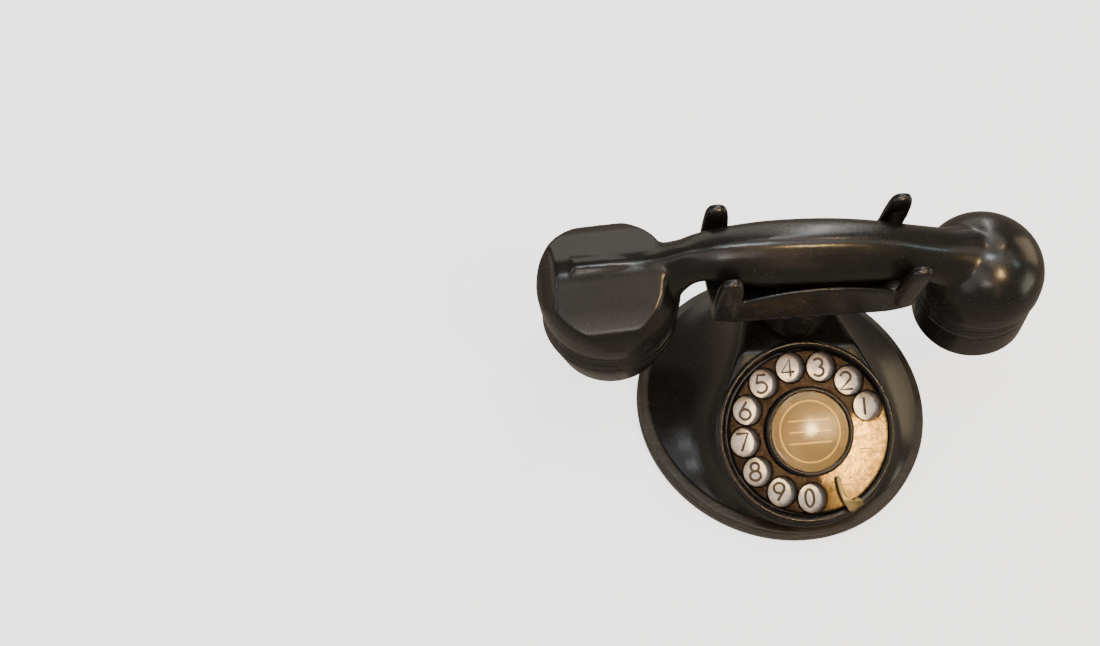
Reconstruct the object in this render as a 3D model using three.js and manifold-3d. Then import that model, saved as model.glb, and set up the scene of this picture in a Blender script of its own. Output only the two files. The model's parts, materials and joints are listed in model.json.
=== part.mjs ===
// Desk telephone with a round bell base, a cradle on a plunger and a rotary dial.
// Millimetres, +Z up, the dial faces -Y, the handset lies along X with the transmitter at -X.
import * as THREE from 'three';
import { mergeVertices } from 'three/addons/utils/BufferGeometryUtils.js';
import Module from 'manifold-3d';

const wasm = await Module();
wasm.setup();

const DEG = Math.PI / 180;
const GAP = 0.3;

// Base
const FOOT_R = 70.3;
const FOOT_TOP = 9.3;
const SKIRT_R = 65.4;
const SKIRT_Z = 9.6;
const WALL = 3;
const PLATE_R = 66.2;
const PLATE_Z = 2.1;
const PLATE_T = 1.5;
const NECK_Y = 25.4;
const NECK_R = 21.5;
const NECK_Z = 52.6;
const WAIST = 1.5;
const NECK_SOFT = 2.3;
const BASE_SCREW_R = 58;
const BASE_SCREW_AZ = [35, 145, 215, 325];

// Dial, stacked along its own axis with 0 at the top face of the finger wheel
const DIAL = { y: -31.8, z: 39.1, tilt: 25.6 * DEG };
const WHEEL_R = 38;
const WHEEL_T = 1.5;
const HOLE_RING_R = 30.6;
const HOLE_R = 6.6;
const HOLE_FIRST = 18.6 * DEG;
const HOLE_STEP = 27.7 * DEG;
const HOLE_COUNT = 10;
const FACE_Z = -3.6;
const LIP_R = 43;
const OPENING_R = 38.7;
const CASE_R = 33.8;
const LEDGE_Z = -7.4;

// Cradle
const HORN = { x: 42.8, y: 19.5, w: 10.6, d: 5.8, foot: 85, tip: 115, splay: 2.2 };
const BAR = {
  half: 46, outer: 19.6, belly: 20, inner: 17.1, floor: 77.6, lip: 102.4, sag: 5.6, seat: 96.5, dip: 11.7,
  rise: 3.6,
};
const HUB_R = 16.4;
const HUB_Z = 53;

// Handset
const HANDSET_YAW = -1.3 * DEG;
const HANDLE_Y = 0.5;
// Each cup stands on its cap, whose wall is given as [radius, height] from the foot to the seam.
const TX = {
  x: -84.2, z: 37.9, tilt: -7.3 * DEG, r: 30.2, seam: 31.2, wall: [[25.4, 0.9], [31.3, 20.6], [30.2, 31.2]],
};
const RX = {
  x: 89.3, z: 43.4, tilt: -7 * DEG, r: 27.6, seam: 31.1, wall: [[25.2, 0.9], [26.8, 4], [27.6, 31.1]],
};
const CUP_WALL = 3.6;
const BUSH_H = 36.6;

// ---------- geometry helpers ----------

function fromTriangles(points, faces) {
  const g = new THREE.BufferGeometry();
  g.setAttribute('position', new THREE.Float32BufferAttribute(points.flat(), 3));
  let volume = 0;
  for (const [a, b, c] of faces) {
    const [p, q, r] = [points[a], points[b], points[c]];
    volume += p[0] * (q[1] * r[2] - q[2] * r[1]);
    volume -= p[1] * (q[0] * r[2] - q[2] * r[0]);
    volume += p[2] * (q[0] * r[1] - q[1] * r[0]);
  }
  g.setIndex(faces.flatMap((f) => (volume < 0 ? [f[0], f[2], f[1]] : f)));
  return g;
}

// Closed body through rings of equal count, capped flat at both ends.
function loft(rings) {
  const n = rings[0].length;
  const points = rings.flat();
  const faces = [];
  for (let k = 0; k + 1 < rings.length; k++) {
    for (let i = 0; i < n; i++) {
      const a = k * n + i;
      const b = k * n + ((i + 1) % n);
      faces.push([a, b, b + n], [a, b + n, a + n]);
    }
  }
  const cap = (ring, start, forward) => {
    const spread = [0, 1, 2].map((i) => {
      const along = ring.map((p) => p[i]);
      return Math.max(...along) - Math.min(...along);
    });
    const drop = spread.indexOf(Math.min(...spread));
    const [u, v] = [0, 1, 2].filter((i) => i !== drop);
    const flat = ring.map((p) => new THREE.Vector2(p[u], p[v]));
    for (const t of THREE.ShapeUtils.triangulateShape(flat, [])) {
      const [i, j, k] = t.map((at) => at + start);
      faces.push(forward ? [i, j, k] : [i, k, j]);
    }
  };
  cap(rings[0], 0, false);
  cap(rings.at(-1), (rings.length - 1) * n, true);
  return fromTriangles(points, faces);
}

// Body of revolution about Z; the profile lists [radius, height] round the section.
function revolve(profile, segments = 36) {
  const points = profile.map(([r, z]) => new THREE.Vector2(r, z));
  const onAxis = profile[0][0] === 0 && profile.at(-1)[0] === 0;
  if (!onAxis) points.push(points[0].clone());
  const g = new THREE.LatheGeometry(points, segments);
  g.rotateX(Math.PI / 2);
  g.deleteAttribute('normal');
  g.deleteAttribute('uv');
  const m = mergeVertices(g, 1e-4);
  const p = m.attributes.position;
  const pts = Array.from({ length: p.count }, (_, i) => [p.getX(i), p.getY(i), p.getZ(i)]);
  const faces = [];
  for (let i = 0; i < m.index.count; i += 3) {
    const f = [m.index.getX(i), m.index.getX(i + 1), m.index.getX(i + 2)];
    if (f[0] !== f[1] && f[1] !== f[2] && f[2] !== f[0]) faces.push(f);
  }
  return fromTriangles(pts, faces);
}

const drum = (r, z0, z1, segments = 24) => revolve([[0, z0], [r, z0], [r, z1], [0, z1]], segments);
const pipe = (r0, r1, z0, z1, segments = 24) =>
  revolve([[r0, z0], [r1, z0], [r1, z1], [r0, z1]], segments);

function box(x0, x1, y0, y1, z0, z1) {
  const g = new THREE.BoxGeometry(x1 - x0, y1 - y0, z1 - z0);
  g.translate((x0 + x1) / 2, (y0 + y1) / 2, (z0 + z1) / 2);
  return g;
}

// Flat plate with the outline [[x, y], ...], from z0 to z1.
function plate(outline, z0, z1) {
  const shape = new THREE.Shape(outline.map(([x, y]) => new THREE.Vector2(x, y)));
  const g = new THREE.ExtrudeGeometry(shape, { depth: z1 - z0, bevelEnabled: false });
  g.translate(0, 0, z0);
  return g;
}

// Round or rectangular section swept along a line of points.
function sweep(points, section, steps) {
  const path = new THREE.CatmullRomCurve3(points.map((p) => new THREE.Vector3(...p)));
  const shape = new THREE.Shape(section.map(([x, y]) => new THREE.Vector2(x, y)));
  return new THREE.ExtrudeGeometry(shape, { steps, extrudePath: path, bevelEnabled: false });
}

const circle = (r, n) =>
  Array.from({ length: n }, (_, i) => {
    const a = (i / n) * 2 * Math.PI;
    return [r * Math.cos(a), r * Math.sin(a)];
  });

function turned(g, { x = 0, y = 0, z = 0, rx = 0, ry = 0, rz = 0 }) {
  const m = new THREE.Matrix4().makeRotationFromEuler(new THREE.Euler(rx, ry, rz, 'XYZ'));
  m.setPosition(x, y, z);
  return g.clone().applyMatrix4(m);
}

function toManifold(g) {
  const bare = g.clone();
  bare.deleteAttribute('normal');
  bare.deleteAttribute('uv');
  const m = mergeVertices(bare, 1e-4);
  return new wasm.Manifold(
    new wasm.Mesh({
      numProp: 3,
      vertProperties: new Float32Array(m.attributes.position.array),
      triVerts: new Uint32Array(m.index.array),
    }),
  );
}

// Slivers left by a cut are merged where the surface moves by less than this.
const MERGE = 0.04;

function fromManifold(m) {
  const mesh = m.simplify(MERGE).getMesh();
  const g = new THREE.BufferGeometry();
  g.setAttribute('position', new THREE.Float32BufferAttribute(mesh.vertProperties, 3));
  g.setIndex([...mesh.triVerts]);
  return g;
}

const join = (...parts) => fromManifold(parts.map(toManifold).reduce((a, b) => a.add(b)));
const cut = (body, ...tools) =>
  fromManifold(tools.map(toManifold).reduce((a, b) => a.subtract(b), toManifold(body)));
const common = (a, b) => fromManifold(toManifold(a).intersect(toManifold(b)));

const lerp = (a, b, t) => a + (b - a) * t;

// Value at x in a table of rows [x, v1, v2, ...], column k, smooth between rows.
function table(rows, x, k) {
  let i = 0;
  while (i + 2 < rows.length && rows[i + 1][0] <= x) i++;
  const at = (j) => rows[Math.min(Math.max(j, 0), rows.length - 1)];
  const [a, b] = [at(i), at(i + 1)];
  const h = b[0] - a[0];
  const t = Math.min(Math.max((x - a[0]) / h, 0), 1);
  const slope = (j) => {
    const [p, q] = [at(j - 1), at(j + 1)];
    return q[0] === p[0] ? 0 : (q[k] - p[k]) / (q[0] - p[0]);
  };
  const [ma, mb] = [slope(i) * h, slope(i + 1) * h];
  const [t2, t3] = [t * t, t * t * t];
  return (2 * t3 - 3 * t2 + 1) * a[k] + (t3 - 2 * t2 + t) * ma + (3 * t2 - 2 * t3) * b[k] + (t3 - t2) * mb;
}

// ---------- scene graph ----------

const phone = new THREE.Group();
phone.name = 'rotary_telephone';

const dial = new THREE.Group();
dial.name = 'dial';
dial.position.set(0, DIAL.y, DIAL.z);
dial.rotation.x = DIAL.tilt;
phone.add(dial);

const handset = new THREE.Group();
handset.name = 'handset';
handset.position.set(0, NECK_Y, 0);
handset.rotation.z = HANDSET_YAW;
phone.add(handset);

function cupFrame(cup, name) {
  const g = new THREE.Group();
  g.name = name;
  g.position.set(cup.x, 0, cup.z);
  g.rotation.y = cup.tilt;
  handset.add(g);
  return g;
}
const txFrame = cupFrame(TX, 'transmitter');
const rxFrame = cupFrame(RX, 'receiver');

const LOOKS = {
  bakelite: [0x17161a, 0.3, 0],
  foot: [0x2b2721, 0.45, 0],
  steel: [0x9a9c9e, 0.4, 0.9],
  zinc: [0xb8b9b6, 0.45, 0.9],
  brass: [0xa8873f, 0.38, 0.9],
  bronze: [0x4a3a30, 0.36, 0.85],
  enamel: [0xe8e2d6, 0.3, 0],
  felt: [0x23261f, 0.95, 0],
  rubber: [0x1a1a1a, 0.8, 0],
  card: [0x9c7d3a, 0.7, 0],
  window: [0xe9dfc0, 0.08, 0],
  fibre: [0x5c3a24, 0.7, 0],
  copper: [0x9b5a35, 0.5, 0.7],
  black: [0x202022, 0.5, 0.4],
  magnet: [0x35373b, 0.5, 0.8],
};

function add(name, geometry, look, parent = phone) {
  const [color, roughness, metalness] = LOOKS[look];
  const material = new THREE.MeshStandardMaterial({ color, roughness, metalness });
  const mesh = new THREE.Mesh(geometry, material);
  mesh.name = name;
  geometry.computeVertexNormals();
  parent.add(mesh);
  return mesh;
}

// ---------- base ----------

const faceHeight = (y) => {
  const cy = DIAL.y - FACE_Z * Math.sin(DIAL.tilt);
  const cz = DIAL.z + FACE_Z * Math.cos(DIAL.tilt);
  return cz + (y - cy) * Math.tan(DIAL.tilt);
};
const topHeight = (y) => Math.min(faceHeight(y), NECK_Z);

// Plan outline of the housing's top: the dial lip and the neck, with a shallow waist between.
function topOutline() {
  const cy = DIAL.y - FACE_Z * Math.sin(DIAL.tilt);
  const [a, b] = [LIP_R, LIP_R * Math.cos(DIAL.tilt)];
  const half = [];
  for (let i = 0; i <= 180; i++) {
    const t = (i / 180 - 0.5) * Math.PI;
    const [c, s] = [Math.cos(t), Math.sin(t)];
    const h = Math.hypot(a * c, b * s);
    const onDial = cy * s + h > NECK_Y * s + NECK_R;
    half.push(onDial ? [(a * a * c) / h, cy + (b * b * s) / h] : [NECK_R * c, NECK_Y + NECK_R * s]);
  }
  const step = (i) => Math.hypot(half[i][0] - half[i - 1][0], half[i][1] - half[i - 1][1]);
  const k = half.findIndex((_, i) => i && step(i) > 8);
  const [p, q] = [half[k - 1], half[k]];
  const run = Math.hypot(q[0] - p[0], q[1] - p[1]);
  const [ex, ey] = [(q[0] - p[0]) / run, (q[1] - p[1]) / run];
  const side = Array.from({ length: 9 }, (_, i) => {
    const t = (i + 1) / 10;
    const dip = WAIST * Math.sin(Math.PI * t) ** 2;
    return [lerp(p[0], q[0], t) - dip * ey, lerp(p[1], q[1], t) + dip * ex];
  });
  half.splice(k, 0, ...side);
  return [...half, ...half.slice(1, -1).reverse().map(([x, y]) => [-x, y])];
}

function reach(outline, angle) {
  const [c, s] = [Math.cos(angle), Math.sin(angle)];
  let best = 0;
  for (let i = 0; i < outline.length; i++) {
    const [p, q] = [outline[i], outline[(i + 1) % outline.length]];
    const [ex, ey] = [q[0] - p[0], q[1] - p[1]];
    const det = ex * s - ey * c;
    if (Math.abs(det) < 1e-12) continue;
    const t = (ex * p[1] - ey * p[0]) / det;
    const u = (c * p[1] - s * p[0]) / det;
    if (t > 0 && u >= -1e-9 && u <= 1 + 1e-9) best = Math.max(best, t);
  }
  return best;
}

const BELL_COUNT = 32;

// Rounding of the top edge: crisp round the dial, soft from the waist to the neck.
const softness = (a) => {
  const t = Math.min(Math.max((Math.sin(a) + 0.15) / 0.5, 0), 1);
  return lerp(1, NECK_SOFT, t * t * (3 - 2 * t));
};

// Bell from the skirt up to the top outline, drawn in by `inset` for the inner face.
function bell(inset, bottom, steps) {
  const outline = topOutline();
  const rings = [];
  const angles = Array.from({ length: BELL_COUNT }, (_, i) => (i / BELL_COUNT) * 2 * Math.PI);
  const ring = (f) =>
    angles.map((a) => {
      const top = reach(outline, a) - inset;
      const r = f(a, top);
      return [r[0] * Math.cos(a), r[0] * Math.sin(a), r[1]];
    });
  const roof = (a, r) => topHeight(r * Math.sin(a)) - inset;
  rings.push(ring(() => [SKIRT_R - inset, bottom]));
  for (let k = 0; k <= steps; k++) {
    const t = k / steps;
    rings.push(
      ring((a, top) => {
        const [r0, z0] = [SKIRT_R - inset, SKIRT_Z + 1.6];
        const [r2, z2] = [top, roof(a, top) - 2.2 * softness(a)];
        const r1 = lerp(r2, r0, 0.16);
        const z1 = lerp(z0, z2, 0.26);
        const w = [(1 - t) ** 2, 2 * t * (1 - t), t * t];
        return [w[0] * r0 + w[1] * r1 + w[2] * r2, w[0] * z0 + w[1] * z1 + w[2] * z2];
      }),
    );
  }
  const edge = (draw, drop) =>
    ring((a, top) => {
      const r = top - draw * softness(a);
      return [r, roof(a, r) - drop * softness(a)];
    });
  if (inset === 0) rings.push(edge(0.6, 0.7));
  rings.push(edge(2, 0));
  rings.push(ring((a, top) => [top * 0.55, roof(a, top * 0.55)]));
  const tip = rings.length * BELL_COUNT;
  const points = [...rings.flat(), [0, 0, topHeight(0) - inset], [0, 0, bottom]];
  const faces = [];
  for (let k = 0; k + 1 < rings.length; k++) {
    for (let i = 0; i < BELL_COUNT; i++) {
      const a = k * BELL_COUNT + i;
      const b = k * BELL_COUNT + ((i + 1) % BELL_COUNT);
      faces.push([a, b, b + BELL_COUNT], [a, b + BELL_COUNT, a + BELL_COUNT]);
    }
  }
  const last = (rings.length - 1) * BELL_COUNT;
  for (let i = 0; i < BELL_COUNT; i++) {
    const j = (i + 1) % BELL_COUNT;
    faces.push([last + i, last + j, tip], [j, i, tip + 1]);
  }
  return fromTriangles(points, faces);
}

const inDial = (g) => turned(g, { y: DIAL.y, z: DIAL.z, rx: DIAL.tilt });
const polar = (r, deg) => [r * Math.cos(deg * DEG), r * Math.sin(deg * DEG)];
const DIAL_SCREW_AZ = [30, 150, 270];
const DIAL_SCREW_R = 36.5;
const GROMMET_X = [-13, 13];
const GROMMET_Z = 13.4;

function baseHousing() {
  const outer = bell(0, SKIRT_Z, 5);
  const inner = bell(WALL, SKIRT_Z - 1, 3);
  const seat = inDial(pipe(CASE_R + 0.2, OPENING_R + 2.4, LEDGE_Z - 3, FACE_Z - 0.4, 28));
  const bosses = BASE_SCREW_AZ.map((az) => {
    const [x, y] = polar(BASE_SCREW_R, az);
    return turned(drum(4.6, 3.9, 34, 8), { x, y });
  });
  const rear = { y: 50.5, z: GROMMET_Z, rx: -Math.PI / 2 };
  const pads = GROMMET_X.map((x) => turned(drum(7, 0, 12, 10), { ...rear, x }));
  const solid = (g) => common(g, join(outer, drum(62, 2, SKIRT_Z + 1, BELL_COUNT)));
  const shell = join(cut(outer, inner), ...[seat, ...bosses, ...pads].map(solid));
  const tools = [
    inDial(drum(OPENING_R, LEDGE_Z, 6, 28)),
    inDial(drum(LIP_R + 1, FACE_Z, 12, 28)),
    inDial(drum(CASE_R + 0.6, -20, 0, 28)),
    turned(drum(6.3, 30, 60, 12), { y: NECK_Y }),
    ...BASE_SCREW_AZ.map((az) => {
      const [x, y] = polar(BASE_SCREW_R, az);
      return turned(drum(1.8, 0, 12, 6), { x, y });
    }),
    ...DIAL_SCREW_AZ.map((az) => {
      const [x, y] = polar(DIAL_SCREW_R, az);
      return inDial(turned(drum(1.5, -14, -5, 6), { x, y }));
    }),
    ...GROMMET_X.flatMap((x) => [
      turned(drum(4.3, 0, 30, 8), { x, y: 45, z: GROMMET_Z, rx: -Math.PI / 2 }),
      turned(drum(6.2, 0, 30, 10), { x, y: 58, z: GROMMET_Z, rx: -Math.PI / 2 }),
    ]),
  ];
  return cut(shell, ...tools);
}

function footRing() {
  return revolve(
    [
      [64.4, 3.9], [67, 3.9], [67, 0.6], [69.6, 0.6], [FOOT_R, 1.8], [FOOT_R, 4.8], [69.7, 5.3],
      [FOOT_R - 0.2, 5.9], [FOOT_R - 0.3, 8.3], [69.3, FOOT_TOP], [64.4, FOOT_TOP],
    ],
    30,
  );
}

function base() {
  add('base_housing', baseHousing(), 'bakelite');
  add('foot_ring', footRing(), 'foot');
  const holes = BASE_SCREW_AZ.map((az) => {
    const [x, y] = polar(BASE_SCREW_R, az);
    return turned(drum(2.1, 0, 6, 8), { x, y });
  });
  add('base_plate', cut(drum(PLATE_R, PLATE_Z, PLATE_Z + PLATE_T, 28), ...holes), 'steel');
  add('base_felt', drum(53, 0, PLATE_Z - GAP, 24), 'felt');
  BASE_SCREW_AZ.forEach((az, i) => {
    const [x, y] = polar(BASE_SCREW_R, az);
    const profile = [[0, 0.5], [2.6, 0.5], [3.3, 1.2], [3.3, 1.8], [1.5, 1.8], [1.5, 10.8], [0, 11.6]];
    add(`base_screw_${i + 1}`, turned(revolve(profile, 8), { x, y }), 'zinc');
  });
  GROMMET_X.forEach((x, i) => {
    const profile = [
      [2.7, -2.6], [4.9, -2.6], [4.9, -1.3], [3.9, -1.3], [3.9, 6.6], [5.6, 6.6], [5.6, 8], [4.8, 8.6],
      [2.7, 8.6],
    ];
    const g = turned(revolve(profile, 10), { x, y: 51.5, z: GROMMET_Z, rx: -Math.PI / 2 });
    add(i ? 'handset_lead_grommet' : 'line_lead_grommet', g, 'rubber');
  });
}

function terminals() {
  const [x0, x1, y0, y1, z0, z1] = [-43, -13, 12, 23, PLATE_Z + PLATE_T + GAP, 10.5];
  const xs = [-37.5, -28, -18.5];
  const wells = xs.map((x) => turned(drum(1.6, 5, 12, 8), { x, y: 17.5 }));
  const ribs = [-32.7, -23.3].map((x) => box(x - 0.6, x + 0.6, y0, y1, z1 - 1, z1 + 1.6));
  add('terminal_block', cut(join(box(x0, x1, y0, y1, z0, z1), ...ribs), ...wells), 'fibre');
  xs.forEach((x, i) => {
    const head = [[2.9, z1 + GAP], [2.9, z1 + 1.9], [0, z1 + 2.3]];
    const screw = revolve([[0, 6], [1.3, 6], [1.3, z1 + GAP], ...head], 10);
    add(`terminal_screw_${i + 1}`, turned(screw, { x, y: 17.5 }), 'brass');
  });
}

// ---------- cradle and hook switch ----------

function cradleBar() {
  const stations = [-1, -0.92, -0.8, -0.62, -0.38, -0.13, 0.13, 0.38, 0.62, 0.8, 0.92, 1];
  const { outer, belly, inner } = BAR;
  const rings = stations.map((t) => {
    const x = t * BAR.half;
    const floor = BAR.floor + BAR.rise * Math.max(0, (Math.abs(t) - 0.7) / 0.3) ** 2;
    const half = [[belly - 3.6, floor], [belly - 1, floor + 1.2], [belly, floor + 4]];
    const lip = BAR.lip - BAR.sag * Math.min(1.3, (x / 33) ** 2);
    const wall = [[outer, lip - 1.2], [outer - 1, lip], [inner + 0.8, lip], [inner, lip - 1]];
    const valley = Array.from({ length: 5 }, (_, k) => {
      const a = ((k + 0.5) / 5) * Math.PI;
      return [inner * Math.cos(a), BAR.seat - BAR.dip * Math.sin(a)];
    });
    const right = [...half, ...wall];
    const left = right.map(([y, z]) => [-y, z]).reverse();
    return [...right, ...valley, ...left].map(([y, z]) => [x, y, z]);
  });
  return loft(rings);
}

// One upright prong, leaning out both ways, with a wide root and a rounded tip.
function horn(sx, sy) {
  const levels = [
    [0, 1.08, 1], [0.35, 1.18, 1], [0.6, 1.12, 1], [0.8, 1.02, 1], [0.91, 0.88, 0.92], [0.97, 0.68, 0.74],
    [1, 0.36, 0.4],
  ];
  const rings = levels.map(([t, fx, fy]) => {
    const z = lerp(HORN.foot, HORN.tip, t);
    const lean = HORN.splay * (1 - t);
    return Array.from({ length: 10 }, (_, i) => {
      const a = ((i + 0.5) / 10) * 2 * Math.PI;
      const [c, s] = [Math.cos(a), Math.sin(a)];
      const k = (Math.abs(c) ** 3 + Math.abs(s) ** 3) ** (-1 / 3);
      const x = sx * (HORN.x - lean) + 0.5 * HORN.w * fx * k * c;
      const y = sy * (HORN.y - lean) + 0.5 * HORN.d * fy * k * s;
      return [x, y, z];
    });
  });
  return loft(rings);
}

const ROD_TOP = 77;

function cradle() {
  const hub = revolve(
    [
      [11.5, HUB_Z], [HUB_R - 1.6, HUB_Z], [HUB_R, HUB_Z + 2], [HUB_R + 0.6, HUB_Z + 16],
      [HUB_R + 1.6, BAR.floor - 3], [HUB_R + 2.4, BAR.floor + 1], [0, BAR.floor + 1], [0, 73], [11.5, 73],
    ],
    24,
  );
  const horns = [-1, 1].flatMap((sx) => [-1, 1].map((sy) => horn(sx, sy)));
  const trough = loft(
    [-BAR.half - 1, BAR.half + 1].map((x) =>
      Array.from({ length: 12 }, (_, i) => {
        const a = (i / 12) * 2 * Math.PI;
        const s = Math.sin(a);
        return [x, (BAR.inner - 0.2) * Math.cos(a), BAR.seat + (s > 0 ? 30 : BAR.dip - 0.2) * s];
      }),
    ),
  );
  const body = join(cradleBar(), hub, ...horns);
  return cut(body, trough, drum(3.4, 60, ROD_TOP, 12));
}

function hookSwitch() {
  const neck = { y: NECK_Y };
  add('cradle', turned(cradle(), neck), 'bakelite');
  const rod = revolve([[0, 29], [1.6, 29], [3, 30.5], [3, ROD_TOP - GAP], [0, ROD_TOP - GAP]], 12);
  add('plunger_rod', turned(rod, neck), 'steel');
  const guide = [
    [3.3, 40], [6, 40], [6, NECK_Z + GAP], [10, NECK_Z + GAP], [10, NECK_Z + 1.6], [3.3, NECK_Z + 1.6],
  ];
  add('plunger_guide', turned(revolve(guide, 12), neck), 'brass');
  const stop = [[3.3, 33], [5.4, 33], [5.4, 35.6], [3.3, 35.6]];
  add('plunger_stop', turned(revolve(stop, 12), neck), 'brass');
  const turns = 4;
  const [z0, z1] = [NECK_Z + 2.7, 72];
  const coil = Array.from({ length: turns * 8 + 1 }, (_, i) => {
    const a = (i / 8) * 2 * Math.PI;
    return [8.4 * Math.cos(a), 8.4 * Math.sin(a), lerp(z0, z1, i / (turns * 8))];
  });
  add('plunger_spring', turned(sweep(coil, circle(0.75, 4), turns * 9), neck), 'steel');

  const pin = { x: 16, y: NECK_Y - 3, z: 26 };
  const floor = PLATE_Z + PLATE_T + GAP;
  const wall = NECK_Y + 4.2;
  const frame = join(
    plate([[-20, floor], [-20, 26], [-16, 30], [15, 30], [19.4, 26], [19.4, 14], [10, floor]], 0, 1.4),
    box(-12, 6, floor, floor + 1.5, -8, 0.4),
  );
  const stand = turned(frame, { y: wall + 1.4, rx: Math.PI / 2 });
  const eye = turned(drum(1.6, -20, 20, 8), { ...pin, rx: Math.PI / 2 });
  add('switch_bracket', cut(stand, eye), 'zinc');
  const tongue = box(-3.4, pin.x, pin.y, pin.y + 6, pin.z + 0.7, pin.z + 2.6);
  const lug = turned(drum(2.8, -6, 0, 10), { ...pin, rx: Math.PI / 2 });
  add('switch_lever', cut(join(tongue, lug), eye), 'brass');
  const shaft = revolve([[0, 0], [2.4, 0], [2.4, 1], [1.3, 1], [1.3, 11.4], [0, 11.4]], 8);
  add('switch_pin', turned(shaft, { ...pin, y: pin.y - 1.4, rx: -Math.PI / 2 }), 'steel');
  const block = box(-19, -12, pin.y - 0.4, wall - GAP, 19.4, 28.4);
  const leafZ = [22, 25.6];
  const slots = leafZ.map((z) => box(-16, -11, pin.y + 0.6, pin.y + 5.4, z - 0.3, z + 0.9));
  add('contact_block', cut(block, ...slots), 'fibre');
  leafZ.forEach((z, i) => {
    const end = -1.5 * i;
    const strip = box(-15.7, end, pin.y + 1.2, pin.y + 4.8, z, z + 0.6);
    const point = turned(drum(0.9, -0.4, 0.9, 6), { x: end - 2, y: NECK_Y, z });
    add(`contact_leaf_${i + 1}`, join(strip, point), 'brass');
  });
}

// ---------- dial ----------

function fingerWheel() {
  const blank = revolve(
    [
      [3.4, -WHEEL_T], [36.6, -WHEEL_T], [36.8, -2.9], [WHEEL_R, -2.9], [WHEEL_R, -0.7], [37.2, 0],
      [3.4, 0],
    ],
    32,
  );
  const spots = Array.from({ length: HOLE_COUNT }, (_, i) => {
    const a = HOLE_FIRST + i * HOLE_STEP;
    return { x: HOLE_RING_R * Math.cos(a), y: HOLE_RING_R * Math.sin(a) };
  });
  const lip = [
    [HOLE_R - 0.4, -2.6], [HOLE_R + 0.6, -2.6], [HOLE_R + 1.1, -0.4], [HOLE_R + 0.7, 0.45],
    [HOLE_R - 0.4, 0.45],
  ];
  const collars = spots.map((at) => turned(revolve(lip, 10), at));
  const holes = spots.map((at) => turned(drum(HOLE_R, -6, 3, 10), at));
  return cut(join(blank, ...collars), ...holes);
}

function gearDisc(r, teeth, depth, z0, z1) {
  const out = [];
  for (let i = 0; i < teeth; i++) {
    for (const [f, dr] of [[0.1, 0], [0.4, 0], [0.7, -depth]]) {
      const a = ((i + f) / teeth) * 2 * Math.PI;
      out.push([(r + dr) * Math.cos(a), (r + dr) * Math.sin(a)]);
    }
  }
  return plate(out, z0, z1);
}

const GEAR = { r: 21, z: -17 };
const PINION = { x: -20.4, y: 14.6, r: 3.7 };
const WORM = { x: -7.4, y: 14.6, z: -24 };

// Finger stop seen square on to the dial: hooked blade, then the square tab on the rim.
const STOP_BLADE = [
  [11.2, -21], [10.6, -22], [10.5, -23.4], [11, -27.8], [12.5, -32.5], [13.9, -35.4], [15, -37.6],
  [17, -38.4], [22.4, -34.2], [20, -31.7], [17.6, -33], [15.7, -32.3], [14, -30.3], [12.8, -26.1],
  [12.1, -21.7],
];

function dialFront() {
  const rim = [
    [39, FACE_Z + GAP], [42.5, FACE_Z + GAP], [42.2, -2], [41, -1.4], [39.5, -2],
  ];
  add('dial_rim', revolve(rim, 32), 'black', dial);
  add('number_plate', pipe(20, OPENING_R - 0.5, -5.4, -4.4, 24), 'enamel', dial);
  add('finger_wheel', fingerWheel(), 'bronze', dial);
  const arc = (r, a0, a1, n) => Array.from({ length: n }, (_, i) => polar(r, lerp(a0, a1, i / (n - 1))));
  const foot = [...arc(41.6, -66.3, -57.5, 4), ...arc(39.5, -57.5, -66.3, 4)];
  add('finger_stop', join(plate(STOP_BLADE, 1.2, 2.5), plate(foot, -1.2, 1.8)), 'brass', dial);
  const ring = [
    [19.2, GAP], [20.9, GAP], [20.9, 2.4], [20, 3.6], [18.7, 3.5], [18.4, 3.1], [19.2, 2.6],
  ];
  add('card_retainer', revolve(ring, 24), 'black', dial);
  const domeAt = (r) => 2.5 + 2.1 * (1 - (r / 18.9) ** 2);
  const dome = [[0, 2], [18.8, 2], ...[18, 13, 7, 0].map((r) => [r, domeAt(r)])];
  add('card_window', revolve(dome, 24), 'window', dial);
  add('number_card', drum(18.4, 1.45, 1.75, 24), 'card', dial);
  add('clamp_nut', pipe(3.6, 6.4, GAP, 1.2, 6), 'brass', dial);
}

function dialCase() {
  const shell = [
    [32.4, -5.8], [32.4, -13.5], [4, -13.5], [4, -14.6], [CASE_R - 1.2, -14.6], [CASE_R, -13.6],
    [CASE_R, -7.1], [38.3, -7.1], [38.3, -5.8],
  ];
  const holes = DIAL_SCREW_AZ.map((az) => {
    const [x, y] = polar(DIAL_SCREW_R, az);
    return turned(drum(1.4, -8, -5, 6), { x, y });
  });
  add('dial_case', cut(revolve(shell, 24), ...holes), 'zinc', dial);
  DIAL_SCREW_AZ.forEach((az, i) => {
    const [x, y] = polar(DIAL_SCREW_R, az);
    const g = revolve([[0, -12.2], [2.1, -12.2], [2.1, -10.8], [1.1, -10.8], [1.1, -6], [0, -6]], 8);
    add(`dial_screw_${i + 1}`, turned(g, { x, y }), 'steel', dial);
  });
}

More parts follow.
